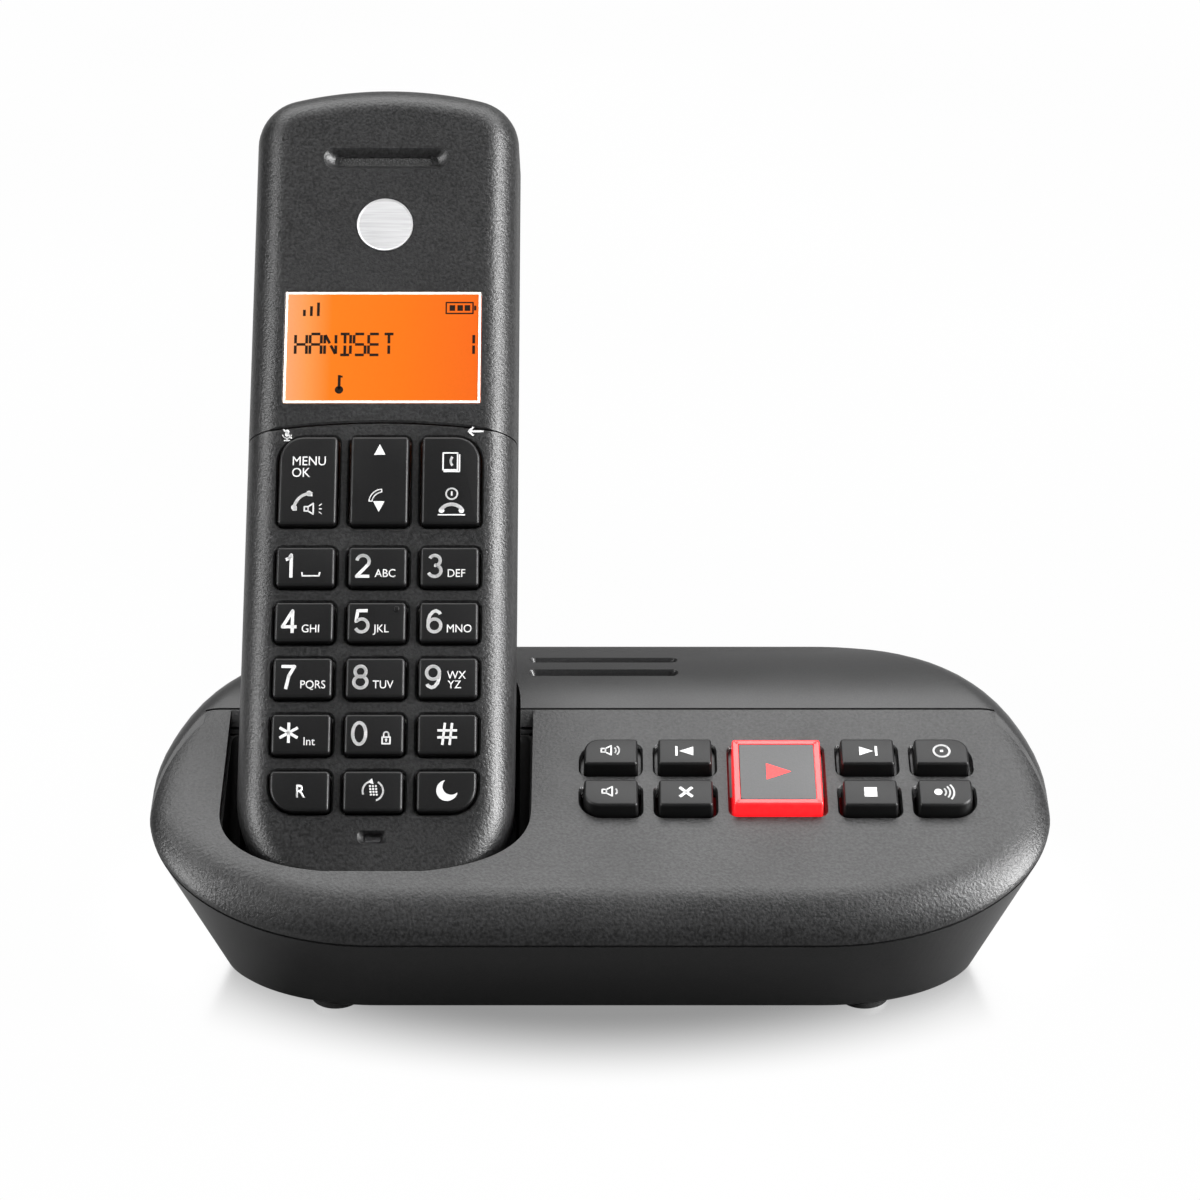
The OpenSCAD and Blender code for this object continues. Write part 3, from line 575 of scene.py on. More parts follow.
def front_solid(name, wall, parting):
    edge = FACE_ROUND - wall
    rings = [[(x, y, -parting) for x, y in handset_outline(wall)]]
    for a in range(0, 91, 9):
        inset = wall + edge * (1 - math.cos(math.radians(a)))
        height = -wall - edge * (1 - math.sin(math.radians(a)))
        rings.append([(x, y, height) for x, y in handset_outline(inset)])
    return mirrored_body(name, rings, ON_FACE, 48)


def back_depth(y):
    lower, full = (7.4, 19.9), (58, HANDSET_T)
    return min(lower[1] + (y - lower[0]) * (full[1] - lower[1]) / (full[0] - lower[0]), HANDSET_T)


def back_solid(name, wall, parting):
    edge = BACK_ROUND - wall
    rings = [[(x, y, -parting) for x, y in handset_outline(wall)]]
    for a in range(0, 91, 9):
        inset = wall + edge * (1 - math.cos(math.radians(a)))
        lift = wall + edge * (1 - math.sin(math.radians(a)))
        rings.append([(x, y, lift - back_depth(y)) for x, y in handset_outline(min(inset, 8.99))])
    return mirrored_body(name, rings, ON_FACE, 48)


def arch(radius):
    """Everything below the arched seam between the two front covers."""
    reach = 30
    span = math.degrees(math.asin(reach / radius))
    return (arc((0, COVER_SEAM - COVER_SEAM_R), radius, 90 - span, 90 + span, 24)
            + [(-reach, -20), (reach, -20)])


DIAL = {
    "key_1": (-1, 4), "key_2": (0, 4), "key_3": (1, 4), "key_4": (-1, 3), "key_5": (0, 3), "key_6": (1, 3),
    "key_7": (-1, 2), "key_8": (0, 2), "key_9": (1, 2),
    "key_star": (-1, 1), "key_0": (0, 1), "key_hash": (1, 1),
    "key_recall": (-1, 0), "key_redial": (0, 0), "key_night": (1, 0),
}
ROCKERS = {"key_menu": -1, "key_navigate": 0, "key_end": 1}


def key_layout(name):
    """Centre, size and corner radii of a handset key."""
    if name in ROCKERS:
        column = ROCKERS[name]
        large = {-1: 1, 0: 4, 1: 0}[column]
        return (column * KEY_PITCH, ROCKER_V), (KEY_W, ROCKER_H), corners(large, BIG_ROUND, 0.9)
    column, row = DIAL[name]
    large = {-1: 2, 0: 4, 1: 3}[column] if row == 0 else 4
    return (column * KEY_PITCH, BOTTOM_ROW + row * ROW_PITCH), (KEY_W, KEY_H), corners(large, BIG_ROUND, 0.9)


front = front_solid("front", 0, PARTING)
cut(front, front_solid("inside", HANDSET_WALL, PARTING + 1))
key_wells = []
for key_name in [*DIAL, *ROCKERS]:
    key_at, key_size, key_corners = key_layout(key_name)
    key_wells.append(well(key_at, key_size, key_corners, ON_FACE, 4, 0.3))
cut(front, joined("key_wells", key_wells))
window = [(-5, rounded(*DISPLAY_SIZE, [0.3] * 4, 0.1, (0, DISPLAY_V))),
          (-0.15, rounded(*DISPLAY_SIZE, [0.3] * 4, 0.1, (0, DISPLAY_V))),
          (0.25, rounded(*DISPLAY_SIZE, [0.3] * 4, 0.5, (0, DISPLAY_V)))]
cut(front, prism("window", window, ON_FACE))
ear = [(-1.55, rounded(19.0, 1.9, [0.9] * 4, 0, (0, EARPIECE_V))),
       (-0.7, rounded(21.8, 3.1, [1.5] * 4, 0, (0, EARPIECE_V))),
       (-0.1, rounded(22.6, 3.9, [1.9] * 4, 0, (0, EARPIECE_V))),
       (0.3, rounded(23.4, 4.7, [2.3] * 4, 0, (0, EARPIECE_V)))]
cut(front, prism("ear_dish", ear, ON_FACE))
ear_slot = rounded(17, 1.8, [0.8] * 4, 0, (0, EARPIECE_V))
cut(front, prism("ear_slot", [(-3, ear_slot), (0, ear_slot)], ON_FACE))
seat_r = BADGE_R * 1.03
seat_turns = [math.tau * i / 48 for i in range(48)]
badge_ring = [(seat_r * math.cos(a), BADGE_V + seat_r * math.sin(a)) for a in seat_turns]
cut(front, prism("badge_seat", [(-0.5, badge_ring), (1, badge_ring)], ON_FACE))
mic = [(-1.2, rounded(3.4, 1.3, [0.5] * 4, 0, (0, MIC_V))),
       (-0.4, rounded(4.4, 1.7, [0.7] * 4, 0, (0, MIC_V))),
       (0.3, rounded(5.8, 2.9, [1.2] * 4, 0, (0, MIC_V)))]
cut(front, prism("mic_dish", mic, ON_FACE))
mic_slot = rounded(2.6, 1.1, [0.3] * 4, 0, (0, MIC_V))
cut(front, prism("mic_slot", [(-3, mic_slot), (0, mic_slot)], ON_FACE))
for pad_x in (-CHARGE_X, CHARGE_X):
    low, high = (pad_x - 2.2, -10.2), (pad_x + 2.2, -4.8)
    pad = [(low[0], low[1]), (high[0], low[1]), (high[0], high[1]), (low[0], high[1])]
    downwards = ON_FACE @ Matrix.Rotation(-math.pi / 2, 4, "X")
    cut(front, prism("pad_seat", [(-4, [(x, -y) for x, y in pad]), (2.2, [(x, -y) for x, y in pad])],
                     downwards))
only(front)
bpy.ops.object.duplicate()
upper_cover = bpy.context.view_layer.objects.active
keypad_cover = front
STEP = 0.3
above = [(-16, arch(COVER_SEAM_R + 0.12)), (-STEP, arch(COVER_SEAM_R + 0.12)),
         (STEP, arch(COVER_SEAM_R + 0.12 + 2 * STEP))]
below = [(-16, arch(COVER_SEAM_R - 0.12)), (-STEP, arch(COVER_SEAM_R - 0.12)),
         (STEP, arch(COVER_SEAM_R - 0.12 - 2 * STEP))]
cut(upper_cover, prism("above", above, ON_FACE))
cut(keypad_cover, prism("below", below, ON_FACE), "INTERSECT")
upper_cover.name, keypad_cover.name = "handset_upper_shell", "handset_keypad_shell"
dress(smooth(upper_cover), "handset", "shell_black", replaced=["handset_upper_cover"])
dress(smooth(keypad_cover), "handset", "shell_black", replaced=["handset_keypad_cover"])


def upright_round(name, at, radius, low, high):
    rim = arc(at, radius, 0, 350, 35)
    return prism(name, [(low, rim), (high, rim)], ON_FACE)


rear_cover = back_solid("handset_rear_shell", 0, PARTING + 0.15)
rear_hollow = back_solid("rear_hollow", HANDSET_WALL, PARTING - 1)
for point in SCREW_POINTS:
    cut(rear_hollow, upright_round("post", point, 3.4, -32, -9.5))
cut(rear_cover, rear_hollow)
doorway = rounded(*DOOR_SIZE, [0.5] * 4, DOOR_GAP, (0, DOOR_V))
cut(rear_cover, prism("doorway", [(-40, doorway), (-20, doorway)], ON_FACE))
for point in SCREW_POINTS:
    cut(rear_cover, upright_round("head_recess", point, 2.4, -40, -14))
    cut(rear_cover, upright_round("shank_hole", point, 1.3, -40, -8))
dress(smooth(rear_cover), "handset", "shell_black", replaced=["handset_rear_cover"])


# ---- Keys and buttons ----

def pick_edges(target, wanted):
    """Selects the edges that a test accepts, in edit mode."""
    shape = bmesh.from_edit_mesh(target.data)
    bpy.ops.mesh.select_all(action="DESELECT")
    for edge in shape.edges:
        if wanted(edge):
            edge.select_set(True)
    bmesh.update_edit_mesh(target.data)


def moulded_block(name, size, depth, radii, edge, foot=0.0):
    """A block with rounded corners and a rolled top edge; its top is at z = 0. foot widens its lower end."""
    bpy.ops.mesh.primitive_cube_add(size=1)
    block = bpy.context.view_layer.objects.active
    block.name = name
    block.data.transform(Matrix.Translation((0, 0, -depth / 2)) @ Matrix.Diagonal((*size, depth, 1)))
    bpy.ops.object.mode_set(mode="EDIT")
    for index, (sx, sy) in enumerate(((1, 1), (-1, 1), (-1, -1), (1, -1))):
        def at_corner(e, x=sx * size[0] / 2, y=sy * size[1] / 2):
            return all(abs(v.co.x - x) < 1e-3 and abs(v.co.y - y) < 1e-3 for v in e.verts)
        pick_edges(block, at_corner)
        bpy.ops.mesh.bevel(offset=radii[index], offset_type="OFFSET", segments=8, affect="EDGES")
    if foot:
        shape = bmesh.from_edit_mesh(block.data)
        for v in shape.verts:
            if v.co.z < -depth / 2:
                v.co.x *= 1 + 2 * foot / size[0]
                v.co.y *= 1 + 2 * foot / size[1]
        bmesh.update_edit_mesh(block.data)
    pick_edges(block, lambda e: all(abs(v.co.z) < 1e-4 for v in e.verts)
               and len({round(f.normal.z) for f in e.link_faces}) == 2)
    bpy.ops.mesh.bevel(offset=edge, offset_type="OFFSET", segments=4, affect="EDGES")
    bpy.ops.object.mode_set(mode="OBJECT")
    return block


def placed(target, place, x, y, z):
    target.data.transform(place @ Matrix.Translation((x, y, z)))
    return target


for key_name in [*DIAL, *ROCKERS]:
    key_at, key_size, key_corners = key_layout(key_name)
    key = moulded_block(key_name + "_cap", key_size, 4.1, [max(r - 0.2, 0.7) for r in key_corners], 0.5)
    placed(key, ON_FACE, *key_at, KEY_PROUD)
    dress(smooth(key, 40), key_name + "_body", "key_black", replaced=[key_name])

for button_name, (column, row, large) in SMALL_BUTTONS.items():
    button = moulded_block(button_name + "_cap", (BUTTON_W - 0.5, BUTTON_H - 0.5), 5.9,
                           corners(large, 2.7, 0.6), 0.45, 0.2)
    placed(button, ON_PANEL, *button_centre(button_name), BUTTON_PROUD)
    dress(smooth(button, 40), button_name + "_body", "key_black", replaced=[button_name + "_button"])

guide = moulded_block("play_light_guide", (PLAY_W - 0.4, PLAY_W - 0.4), 5.9, [0.5] * 4, 0.3, 0.15)
bpy.ops.object.mode_set(mode="EDIT")
guide_shape = bmesh.from_edit_mesh(guide.data)
bpy.ops.mesh.select_all(action="DESELECT")
for face in guide_shape.faces:
    if face.normal.z > 0.99 and face.calc_area() > 50:
        face.select_set(True)
bpy.ops.mesh.inset(thickness=0.75)
bpy.ops.mesh.extrude_region_move(TRANSFORM_OT_translate={"value": (0, 0, -0.9)})
bpy.ops.object.mode_set(mode="OBJECT")
placed(guide, ON_PANEL, *PLAY_AT, BUTTON_PROUD)
dress(smooth(guide, 40), "play_body", "light_guide_red", replaced=["play_button"])
cap = moulded_block("play_cap_face", (PLAY_W - 2.7, PLAY_W - 2.7), 0.95, [0.3] * 4, 0.12)
placed(cap, ON_PANEL, *PLAY_AT, BUTTON_PROUD - 0.02)
dress(smooth(cap, 40), "play_body", "cap_grey", replaced=["play_cap"])


# ---- Print: flat shapes in millimetres, raised a hair above the surface ----

INK = 0.025


def stroke(points, width, loop=False):
    """Outlines of a pen line through points: one bar a stretch and a dot at each bend."""
    outlines = []
    pairs = list(zip(points, points[1:])) + ([(points[-1], points[0])] if loop else [])
    for (x0, y0), (x1, y1) in pairs:
        length = math.hypot(x1 - x0, y1 - y0) or 1e-6
        nx, ny = (y0 - y1) / length * width / 2, (x1 - x0) / length * width / 2
        outlines.append([(x0 - nx, y0 - ny), (x1 - nx, y1 - ny), (x1 + nx, y1 + ny), (x0 + nx, y0 + ny)])
    inner = points if loop else points[1:-1]
    outlines += [disc(p, width / 2, 10) for p in inner]
    return outlines


def disc(centre, radius, steps=20):
    return [(centre[0] + radius * math.cos(math.tau * i / steps),
             centre[1] + radius * math.sin(math.tau * i / steps))
            for i in range(steps)]


def ring(centre, radius, width, start=0, end=360, steps=24):
    return stroke(arc(centre, radius, start, end, steps), width)


def moved(outlines, x, y, scale=1.0, turn=0.0):
    c, s = math.cos(math.radians(turn)), math.sin(math.radians(turn))
    return [[(x + scale * (px * c - py * s), y + scale * (px * s + py * c)) for px, py in o]
            for o in outlines]


def ink_mesh(outlines):
    points, faces = [], []
    for outline in outlines:
        n, first = len(outline), len(points)
        points += [(x, y, -INK) for x, y in outline] + [(x, y, INK) for x, y in outline]
        faces.append(tuple(first + i for i in reversed(range(n))))
        faces.append(tuple(first + n + i for i in range(n)))
        faces += [(first + i, first + (i + 1) % n, first + n + (i + 1) % n, first + n + i) for i in range(n)]
    mesh = bpy.data.meshes.new("ink")
    mesh.from_pydata(points, [], faces)
    shape = bmesh.new()
    shape.from_mesh(mesh)
    bmesh.ops.recalc_face_normals(shape, faces=shape.faces)
    shape.to_mesh(mesh)
    shape.free()
    made = bpy.data.objects.new("ink", mesh)
    bpy.context.scene.collection.objects.link(made)
    return made


def lettering(words, height, x, y, squeeze=1.0, weight=0.0, align="LEFT"):
    """Capitals or digits of that height, starting or centred at x on the base line y."""
    curve = bpy.data.curves.new("lettering", "FONT")
    curve.body = words
    curve.align_x = align
    curve.resolution_u = 4
    curve.offset = weight
    text = bpy.data.objects.new("lettering", curve)
    bpy.context.scene.collection.objects.link(text)
    only(text)
    bpy.ops.object.convert(target="MESH")
    text = bpy.context.view_layer.objects.active
    capital = 0.729
    scale = height / capital
    text.data.transform(Matrix.Diagonal((scale * squeeze, scale, 1, 1)))
    only(text)
    bpy.ops.object.mode_set(mode="EDIT")
    bpy.ops.mesh.select_all(action="SELECT")
    bpy.ops.mesh.extrude_region_move(TRANSFORM_OT_translate={"value": (0, 0, 2 * INK)})
    bpy.ops.mesh.select_all(action="SELECT")
    bpy.ops.mesh.normals_make_consistent(inside=False)
    bpy.ops.object.mode_set(mode="OBJECT")
    text.data.transform(Matrix.Translation((x, y, -INK)))
    return text


def printed(name, body, place, at, height, texts=(), shapes=(), material=None, slot="key_black"):
    pieces = list(texts)
    if shapes:
        pieces.append(ink_mesh(shapes))
    mark = joined(name, pieces)
    placed(mark, place, at[0], at[1], height + INK / 2)
    return dress(mark, body, slot, material or PRINT_WHITE)


def oval(x, y, half_w, half_h, start=0, end=360, steps=24):
    return [(x + half_w * c, y + half_h * h) for c, h in arc((0, 0), 1, start, end, steps)]


HOOK = [(0.3, 1.5), (0.34, 2.4), (0.6, 3.25), (1.1, 3.85), (1.65, 4.08), (2.25, 3.75), (2.4, 3.45)]
DIGIT_LINES = {
    "0": [oval(1.35, 2.18, 1.12, 1.92)], "1": [[(0.45, 3.3), (1.05, 3.55), (1.4, 4.15), (1.4, 0.02)]],
    "2": [oval(1.35, 2.98, 1.08, 1.1, 170, -28, 14) + [(0.25, 0.27), (2.5, 0.27)]],
    "3": [oval(1.3, 3.15, 0.95, 0.95, 155, -82, 14) + oval(1.3, 1.28, 1.12, 1.04, 82, -158, 16)],
    "4": [[(2.65, 1.15), (0.2, 1.15), (1.9, 4.05), (1.9, 0.02)]],
    "5": [[(2.35, 4.07), (0.62, 4.07), (0.38, 2.15)] + oval(1.33, 1.4, 1.14, 1.17, 140, -152, 18)],
    "6": [oval(1.4, 1.4, 1.12, 1.16), HOOK], "7": [[(0.25, 4.07), (2.5, 4.07), (1.55, 2.4), (1.05, 0.02)]],
    "8": [oval(1.35, 3.17, 0.95, 0.95), oval(1.35, 1.28, 1.14, 1.05)],
    "9": [oval(1.3, 2.95, 1.12, 1.16), [(2.7 - x, 4.35 - y) for x, y in HOOK]],
}


def digit_shapes(digit, x, y):
    outlines = []
    for line in DIGIT_LINES[digit]:
        outlines += stroke(line, 0.56)
    return moved(outlines, x, y)


def handset_icon(scale=1.0):
    """A receiver seen from the side, ear end at the upper right."""
    spine = arc((1.9, -1.9), 2.5, 98, 172, 8)
    return moved(stroke(spine, 0.42) + [disc(spine[0], 0.42, 14), disc(spine[-1], 0.42, 14)]
                 + stroke([(spine[0][0] - 0.1, spine[0][1] - 0.1), (spine[0][0] + 0.5, spine[0][1] - 0.12)],
                          0.62)
                 + stroke([(spine[-1][0] + 0.1, spine[-1][1] + 0.1),
                           (spine[-1][0] + 0.12, spine[-1][1] - 0.5)], 0.62), 0, 0, scale)


def speaker_icon(waves, start=0.9):
    body = stroke([(-1.45, 0.42), (-0.75, 0.42), (-0.75, -0.42), (-1.45, -0.42)], 0.26, True)
    cone = stroke([(-0.75, 0.42), (0.2, 1.05), (0.2, -1.05), (-0.75, -0.42)], 0.26, True)
    lines = []
    for k in range(waves):
        lines += ring((0.1, 0), start + 0.55 * k, 0.26, -42, 42, 8)
    return body + cone + lines


def bars(x, count):
    return [[(x, y), (x + 0.5, y + dy), (x + 0.5, y + dy + 0.16), (x, y + 0.16)] for y, dy in
            ((0.5, 0.35), (-0.08, 0.0), (-0.66, -0.35))[:count]]


def padlock_icon():
    return (stroke([(-0.62, -0.8), (0.62, -0.8), (0.62, 0.25), (-0.62, 0.25)], 0.24, True)
            + stroke([(-0.4, 0.25), (-0.4, 0.7)] + arc((0, 0.7), 0.4, 180, 0, 8)
                     + [(0.4, 0.7), (0.4, 0.25)], 0.22)
            + [disc((0, -0.15), 0.2, 10)] + stroke([(0, -0.15), (0, -0.5)], 0.2))


def moon_strips():
    """The crescent as quads between its two arcs, so that each is convex."""
    steps = 24
    outer = arc((0, 0), 1.85, 112, 340, steps)
    inner = arc((0.72, 0.72), 1.5, 135, 315, steps)
    return [[outer[i], outer[i + 1], inner[i + 1], inner[i]] for i in range(steps)]


def redial_icon():
    marks = ring((0, 0), 1.75, 0.3, 118, 200, 10) + ring((0, 0), 1.75, 0.3, -70, 62, 14)
    marks += [[(-0.95, 1.55), (-0.15, 2.2), (0.1, 1.2)]]
    for row in range(4):
        for column in range(3):
            marks.append(disc((-0.5 + 0.5 * column + 0.06 * row, 0.85 - 0.5 * row), 0.19, 8))
    return marks


def on_key(name):
    return key_layout(name)[0]


SMALL_CAP = 1.5
DIAL_WORDS = {"key_2": "ABC", "key_3": "DEF", "key_4": "GHI", "key_5": "JKL", "key_6": "MNO",
              "key_7": "PQRS", "key_8": "TUV"}
for digit in "0123456789":
    key_name = "key_" + digit
    texts = []
    shapes = digit_shapes(digit, -3.9, -2.1)
    if key_name in DIAL_WORDS:
        texts.append(lettering(DIAL_WORDS[key_name], SMALL_CAP, -0.45, -1.95, 0.92))
    if digit == "1":
        shapes += stroke([(-0.6, -1.1), (-0.5, -1.75), (2.4, -1.75), (2.55, -1.1)], 0.26)
    if digit == "9":
        texts += [lettering("WX", SMALL_CAP, -0.2, -0.25, 0.92),
                  lettering("YZ", SMALL_CAP, -0.05, -1.95, 0.92)]
    if digit == "0":
        shapes += moved(padlock_icon(), 2.1, -0.85, 1.1)
    printed("print_" + digit, key_name + "_body", ON_FACE, on_key(key_name), KEY_PROUD, texts, shapes)

star = []
for angle in (90, 30, 150):
    a = math.radians(angle)
    star += stroke([(-2.1 - 1.8 * math.cos(a), 0.2 - 1.8 * math.sin(a)),
                    (-2.1 + 1.8 * math.cos(a), 0.2 + 1.8 * math.sin(a))], 0.5)
printed("print_star", "key_star_body", ON_FACE, on_key("key_star"), KEY_PROUD,
        [lettering("Int", SMALL_CAP, 0.35, -2.0, 0.95)], star)
hash_lines = []
for offset in (-0.62, 0.62):
    hash_lines += stroke([(offset - 0.2, -1.95), (offset + 0.2, 1.95)], 0.42)
    hash_lines += stroke([(-1.7, offset), (1.7, offset)], 0.42)
printed("print_hash", "key_hash_body", ON_FACE, on_key("key_hash"), KEY_PROUD, (), hash_lines)
printed("print_recall", "key_recall_body", ON_FACE, on_key("key_recall"), KEY_PROUD,
        [lettering("R", 2.3, 0.1, -1.1, 0.85, 0.015, "CENTER")])
printed("print_redial", "key_redial_body", ON_FACE, on_key("key_redial"), KEY_PROUD, (), redial_icon())
printed("print_night", "key_night_body", ON_FACE, on_key("key_night"), KEY_PROUD, (),
        moved(moon_strips(), 0.1, 0.1))

menu_icons = (moved(handset_icon(1.05), -1.6, -3.2, 1.15) + moved(speaker_icon(0), 0.9, -5.35, 0.95)
              + moved(bars(1.35, 3), 0.75, -5.35))
printed("print_menu", "key_menu_body", ON_FACE, on_key("key_menu"), KEY_PROUD,
        [lettering("MENU", 1.75, -2.9, 2.75, 0.92), lettering("OK", 1.75, -2.9, 0.6, 0.92)], menu_icons)
hollow_handset = moved(stroke(arc((1.9, -1.9), 2.85, 95, 175, 8) + arc((1.9, -1.9), 2.2, 175, 95, 8),
                              0.22, True), -0.95, -2.5, 0.85)
navigate_icons = [[(-1.0, 4.7), (1.0, 4.7), (0, 6.7)],
                  [(-1.0, -3.95), (0, -5.95), (1.0, -3.95)]] + hollow_handset
printed("print_navigate", "key_navigate_body", ON_FACE, on_key("key_navigate"), KEY_PROUD, (), navigate_icons)
book = stroke([(-1.5, 1.85), (1.05, 1.85), (1.05, -1.3), (-1.5, -1.3)], 0.26, True)
book += stroke([(-1.4, -1.6), (1.4, -1.6), (1.4, 1.6)], 0.26)
book += stroke(arc((1.1, 0.3), 1.25, 140, 220, 6), 0.42)
hang_up = (stroke(arc((0, -2.4), 2.25, 145, 35, 12), 0.62)
           + [disc((-1.75, -1.3), 0.5, 12), disc((1.75, -1.3), 0.5, 12)])
end_icons = (moved(book, 0.1, 3.2) + moved(ring((0, 0), 1.0, 0.28) + stroke([(0, 0.45), (0, -0.35)], 0.28),
                                           0.2, -2.55)
             + moved(hang_up, 0.2, -4.35, 1.0) + stroke([(-2.2, -6.45), (2.6, -6.45)], 0.24))
printed("print_end", "key_end_body", ON_FACE, on_key("key_end"), KEY_PROUD, (), end_icons)
cover_print = moved(stroke([(-0.7, 0.9), (0.9, -0.9)], 0.25)
                    + [disc((0, 0.45), 0.42, 12), disc((0, -0.1), 0.42, 12)]
                    + ring((0, 0), 0.85, 0.2, 190, 350, 8) + stroke([(0, -0.85), (0, -1.25)], 0.22)
                    + stroke([(-0.55, -1.3), (0.55, -1.3)], 0.22), -16.6, 86.6, 0.95)
cover_print += moved(stroke([(-1.3, 0), (1.35, 0)], 0.34)
                     + stroke([(-0.45, 0.8), (-1.3, 0), (-0.45, -0.8)], 0.34), 16.9, 87.1)
printed("print_cover", "handset", ON_FACE, (0, 0), 0, (), cover_print, slot="shell_black")

BUTTON_ICONS = {
    "volume_up": moved(speaker_icon(2), -0.15, 0.15, 1.05),
    "volume_down": moved(speaker_icon(1), 0.0, 0.15, 1.05),
    "previous": [[(-1.0, 0), (1.45, 1.05), (1.45, -1.05)]] + stroke([(-1.5, 1.15), (-1.5, -1.15)], 0.42),
    "next": [[(1.0, 0), (-1.45, 1.05), (-1.45, -1.05)]] + stroke([(1.5, 1.15), (1.5, -1.15)], 0.42),
    "delete": stroke([(-1.1, 1.1), (1.1, -1.1)], 0.55) + stroke([(-1.1, -1.1), (1.1, 1.1)], 0.55),
    "stop": [[(-1.1, -1.1), (1.1, -1.1), (1.1, 1.1), (-1.1, 1.1)]],
    "power": ring((0, 0), 1.4, 0.36) + stroke([(-0.28, 0.0), (0.28, 0.0)], 0.5),
    "page": [disc((-1.3, 0), 0.72)] + ring((-1.3, 0), 1.35, 0.3, -38, 38, 8)
                + ring((-1.3, 0), 2.05, 0.3, -38, 38, 8)
            + ring((-1.3, 0), 2.75, 0.3, -38, 38, 8),
}
for button_name, icon in BUTTON_ICONS.items():
    printed("print_" + button_name, button_name + "_body", ON_PANEL, button_centre(button_name),
            BUTTON_PROUD, (), icon)
printed("print_play", "play_body", ON_PANEL, PLAY_AT, BUTTON_PROUD - 0.02, (),
        [[(-1.9, 1.9), (-1.9, -1.9), (2.4, 0)]],
        PRINT_RED, "light_guide_red")
nib = moulded_block("key_5_nib", (0.9, 0.9), 0.3, [0.4] * 4, 0.12)
placed(nib, ON_FACE, on_key("key_5")[0] + 3.5, on_key("key_5")[1] + 2.3, KEY_PROUD + 0.2)
dress(smooth(nib), "key_5_body", "key_black")


# ---- Display, badge ----

pane = moulded_block("display_pane", (DISPLAY_SIZE[0] - 0.5, DISPLAY_SIZE[1] - 0.5), 1.5, [0.2] * 4, 0.08)
placed(pane, ON_FACE, 0, DISPLAY_V, -0.12)
dress(smooth(pane), "handset", "display_amber", replaced=["display_window"])
rim_out = rounded(*DISPLAY_SIZE, [0.3] * 4, 0, (0, DISPLAY_V))
rim_in = rounded(*DISPLAY_SIZE, [0.15] * 4, -0.42, (0, DISPLAY_V))
count = len(rim_out)
rim_points = [(x, y, z) for z in (-0.3, -0.04) for outline in (rim_out, rim_in) for x, y in outline]
rim_faces = []
for i in range(count):
    j = (i + 1) % count
    rim_faces += [(i, j, count + j, count + i), (2 * count + i, 3 * count + i, 3 * count + j, 2 * count + j),
                  (i, 2 * count + i, 2 * count + j, j), (count + i, count + j, 3 * count + j, 3 * count + i)]
dress(closed_mesh("display_border", rim_points, rim_faces, ON_FACE), "handset", "display_amber", BORDER_PALE)

LEFT, RIGHT, MIDDLE = -1.0, 1.0, 0.0
SEGMENTS = {
    "A": ((LEFT, 2), (RIGHT, 2)), "B": ((RIGHT, 2), (RIGHT, 0)), "C": ((RIGHT, 0), (RIGHT, -2)),
    "D": ((LEFT, -2), (RIGHT, -2)),
    "E": ((LEFT, 0), (LEFT, -2)), "F": ((LEFT, 2), (LEFT, 0)), "G": ((LEFT, 0), (RIGHT, 0)),
    "H": ((LEFT, 2), (MIDDLE, 0)),
    "I": ((MIDDLE, 2), (MIDDLE, 0)), "L": ((MIDDLE, 0), (MIDDLE, -2)), "M": ((MIDDLE, 0), (RIGHT, -2)),
}
LETTERS = {"H": "BCEFG", "A": "ABCEFG", "N": "BCEFHM", "D": "ABCDIL", "S": "AFGCD", "E": "ADEFG",
           "T": "AIL", "1": "BC"}


def segment_letter(letter, x, y):
    lines = []
    for part in LETTERS[letter]:
        (x0, y0), (x1, y1) = SEGMENTS[part]
        inset = 0.1
        lines += stroke([(x0 + (x1 - x0) * inset, y0 + (y1 - y0) * inset),
                         (x1 - (x1 - x0) * inset, y1 - (y1 - y0) * inset)], 0.5)
    return moved(lines, x, y, 1.0)


glyphs = []
for index, letter in enumerate("HANDSET"):
    glyphs += segment_letter(letter, -14.6 + 2.62 * index, 0.55)
glyphs += segment_letter("1", 15.3, 0.55)
for index, height in enumerate((1.2, 1.9, 2.6)):
    x = -14.4 + 1.25 * index
    glyphs.append([(x, 6.0), (x + 0.5, 6.0), (x + 0.5, 6.0 + height), (x, 6.0 + height)])
glyphs += stroke([(11.3, 8.6), (16.1, 8.6), (16.1, 6.5), (11.3, 6.5)], 0.26, True)
glyphs += [[(x, 7.0), (x + 1.0, 7.0), (x + 1.0, 8.1), (x, 8.1)] for x in (11.9, 13.3, 14.6)]
glyphs.append([(16.3, 7.1), (16.7, 7.1), (16.7, 8.0), (16.3, 8.0)])
glyphs += ([disc((-7.6, -8.1), 0.75, 16)] + stroke([(-7.6, -8.0), (-7.6, -5.3)], 0.5)
           + stroke([(-7.6, -5.6), (-7.0, -5.6)], 0.35))
printed("display_glyphs", "handset", ON_FACE, (0, DISPLAY_V), -0.12, (), glyphs, SEGMENT_DARK,
        "display_amber")

bpy.ops.mesh.primitive_cylinder_add(vertices=64, radius=BADGE_R, depth=0.6)
badge = bpy.context.view_layer.objects.active
badge.name = "badge_plate"
bpy.ops.object.mode_set(mode="EDIT")
badge_shape = bmesh.from_edit_mesh(badge.data)
bpy.ops.mesh.select_all(action="DESELECT")
for face in badge_shape.faces:
    if face.normal.z > 0.9:
        face.select_set(True)
bpy.ops.mesh.inset(thickness=0.35)
bpy.ops.transform.translate(value=(0, 0, -0.12))
bpy.ops.mesh.inset(thickness=2.2)
bpy.ops.transform.translate(value=(0, 0, 0.1))
bpy.ops.object.mode_set(mode="OBJECT")
placed(badge, ON_FACE, 0, BADGE_V, -0.15)
dress(smooth(badge, 20), "handset", "badge_silver", replaced=["badge_disc"])


# ---- Stage, light and camera ----

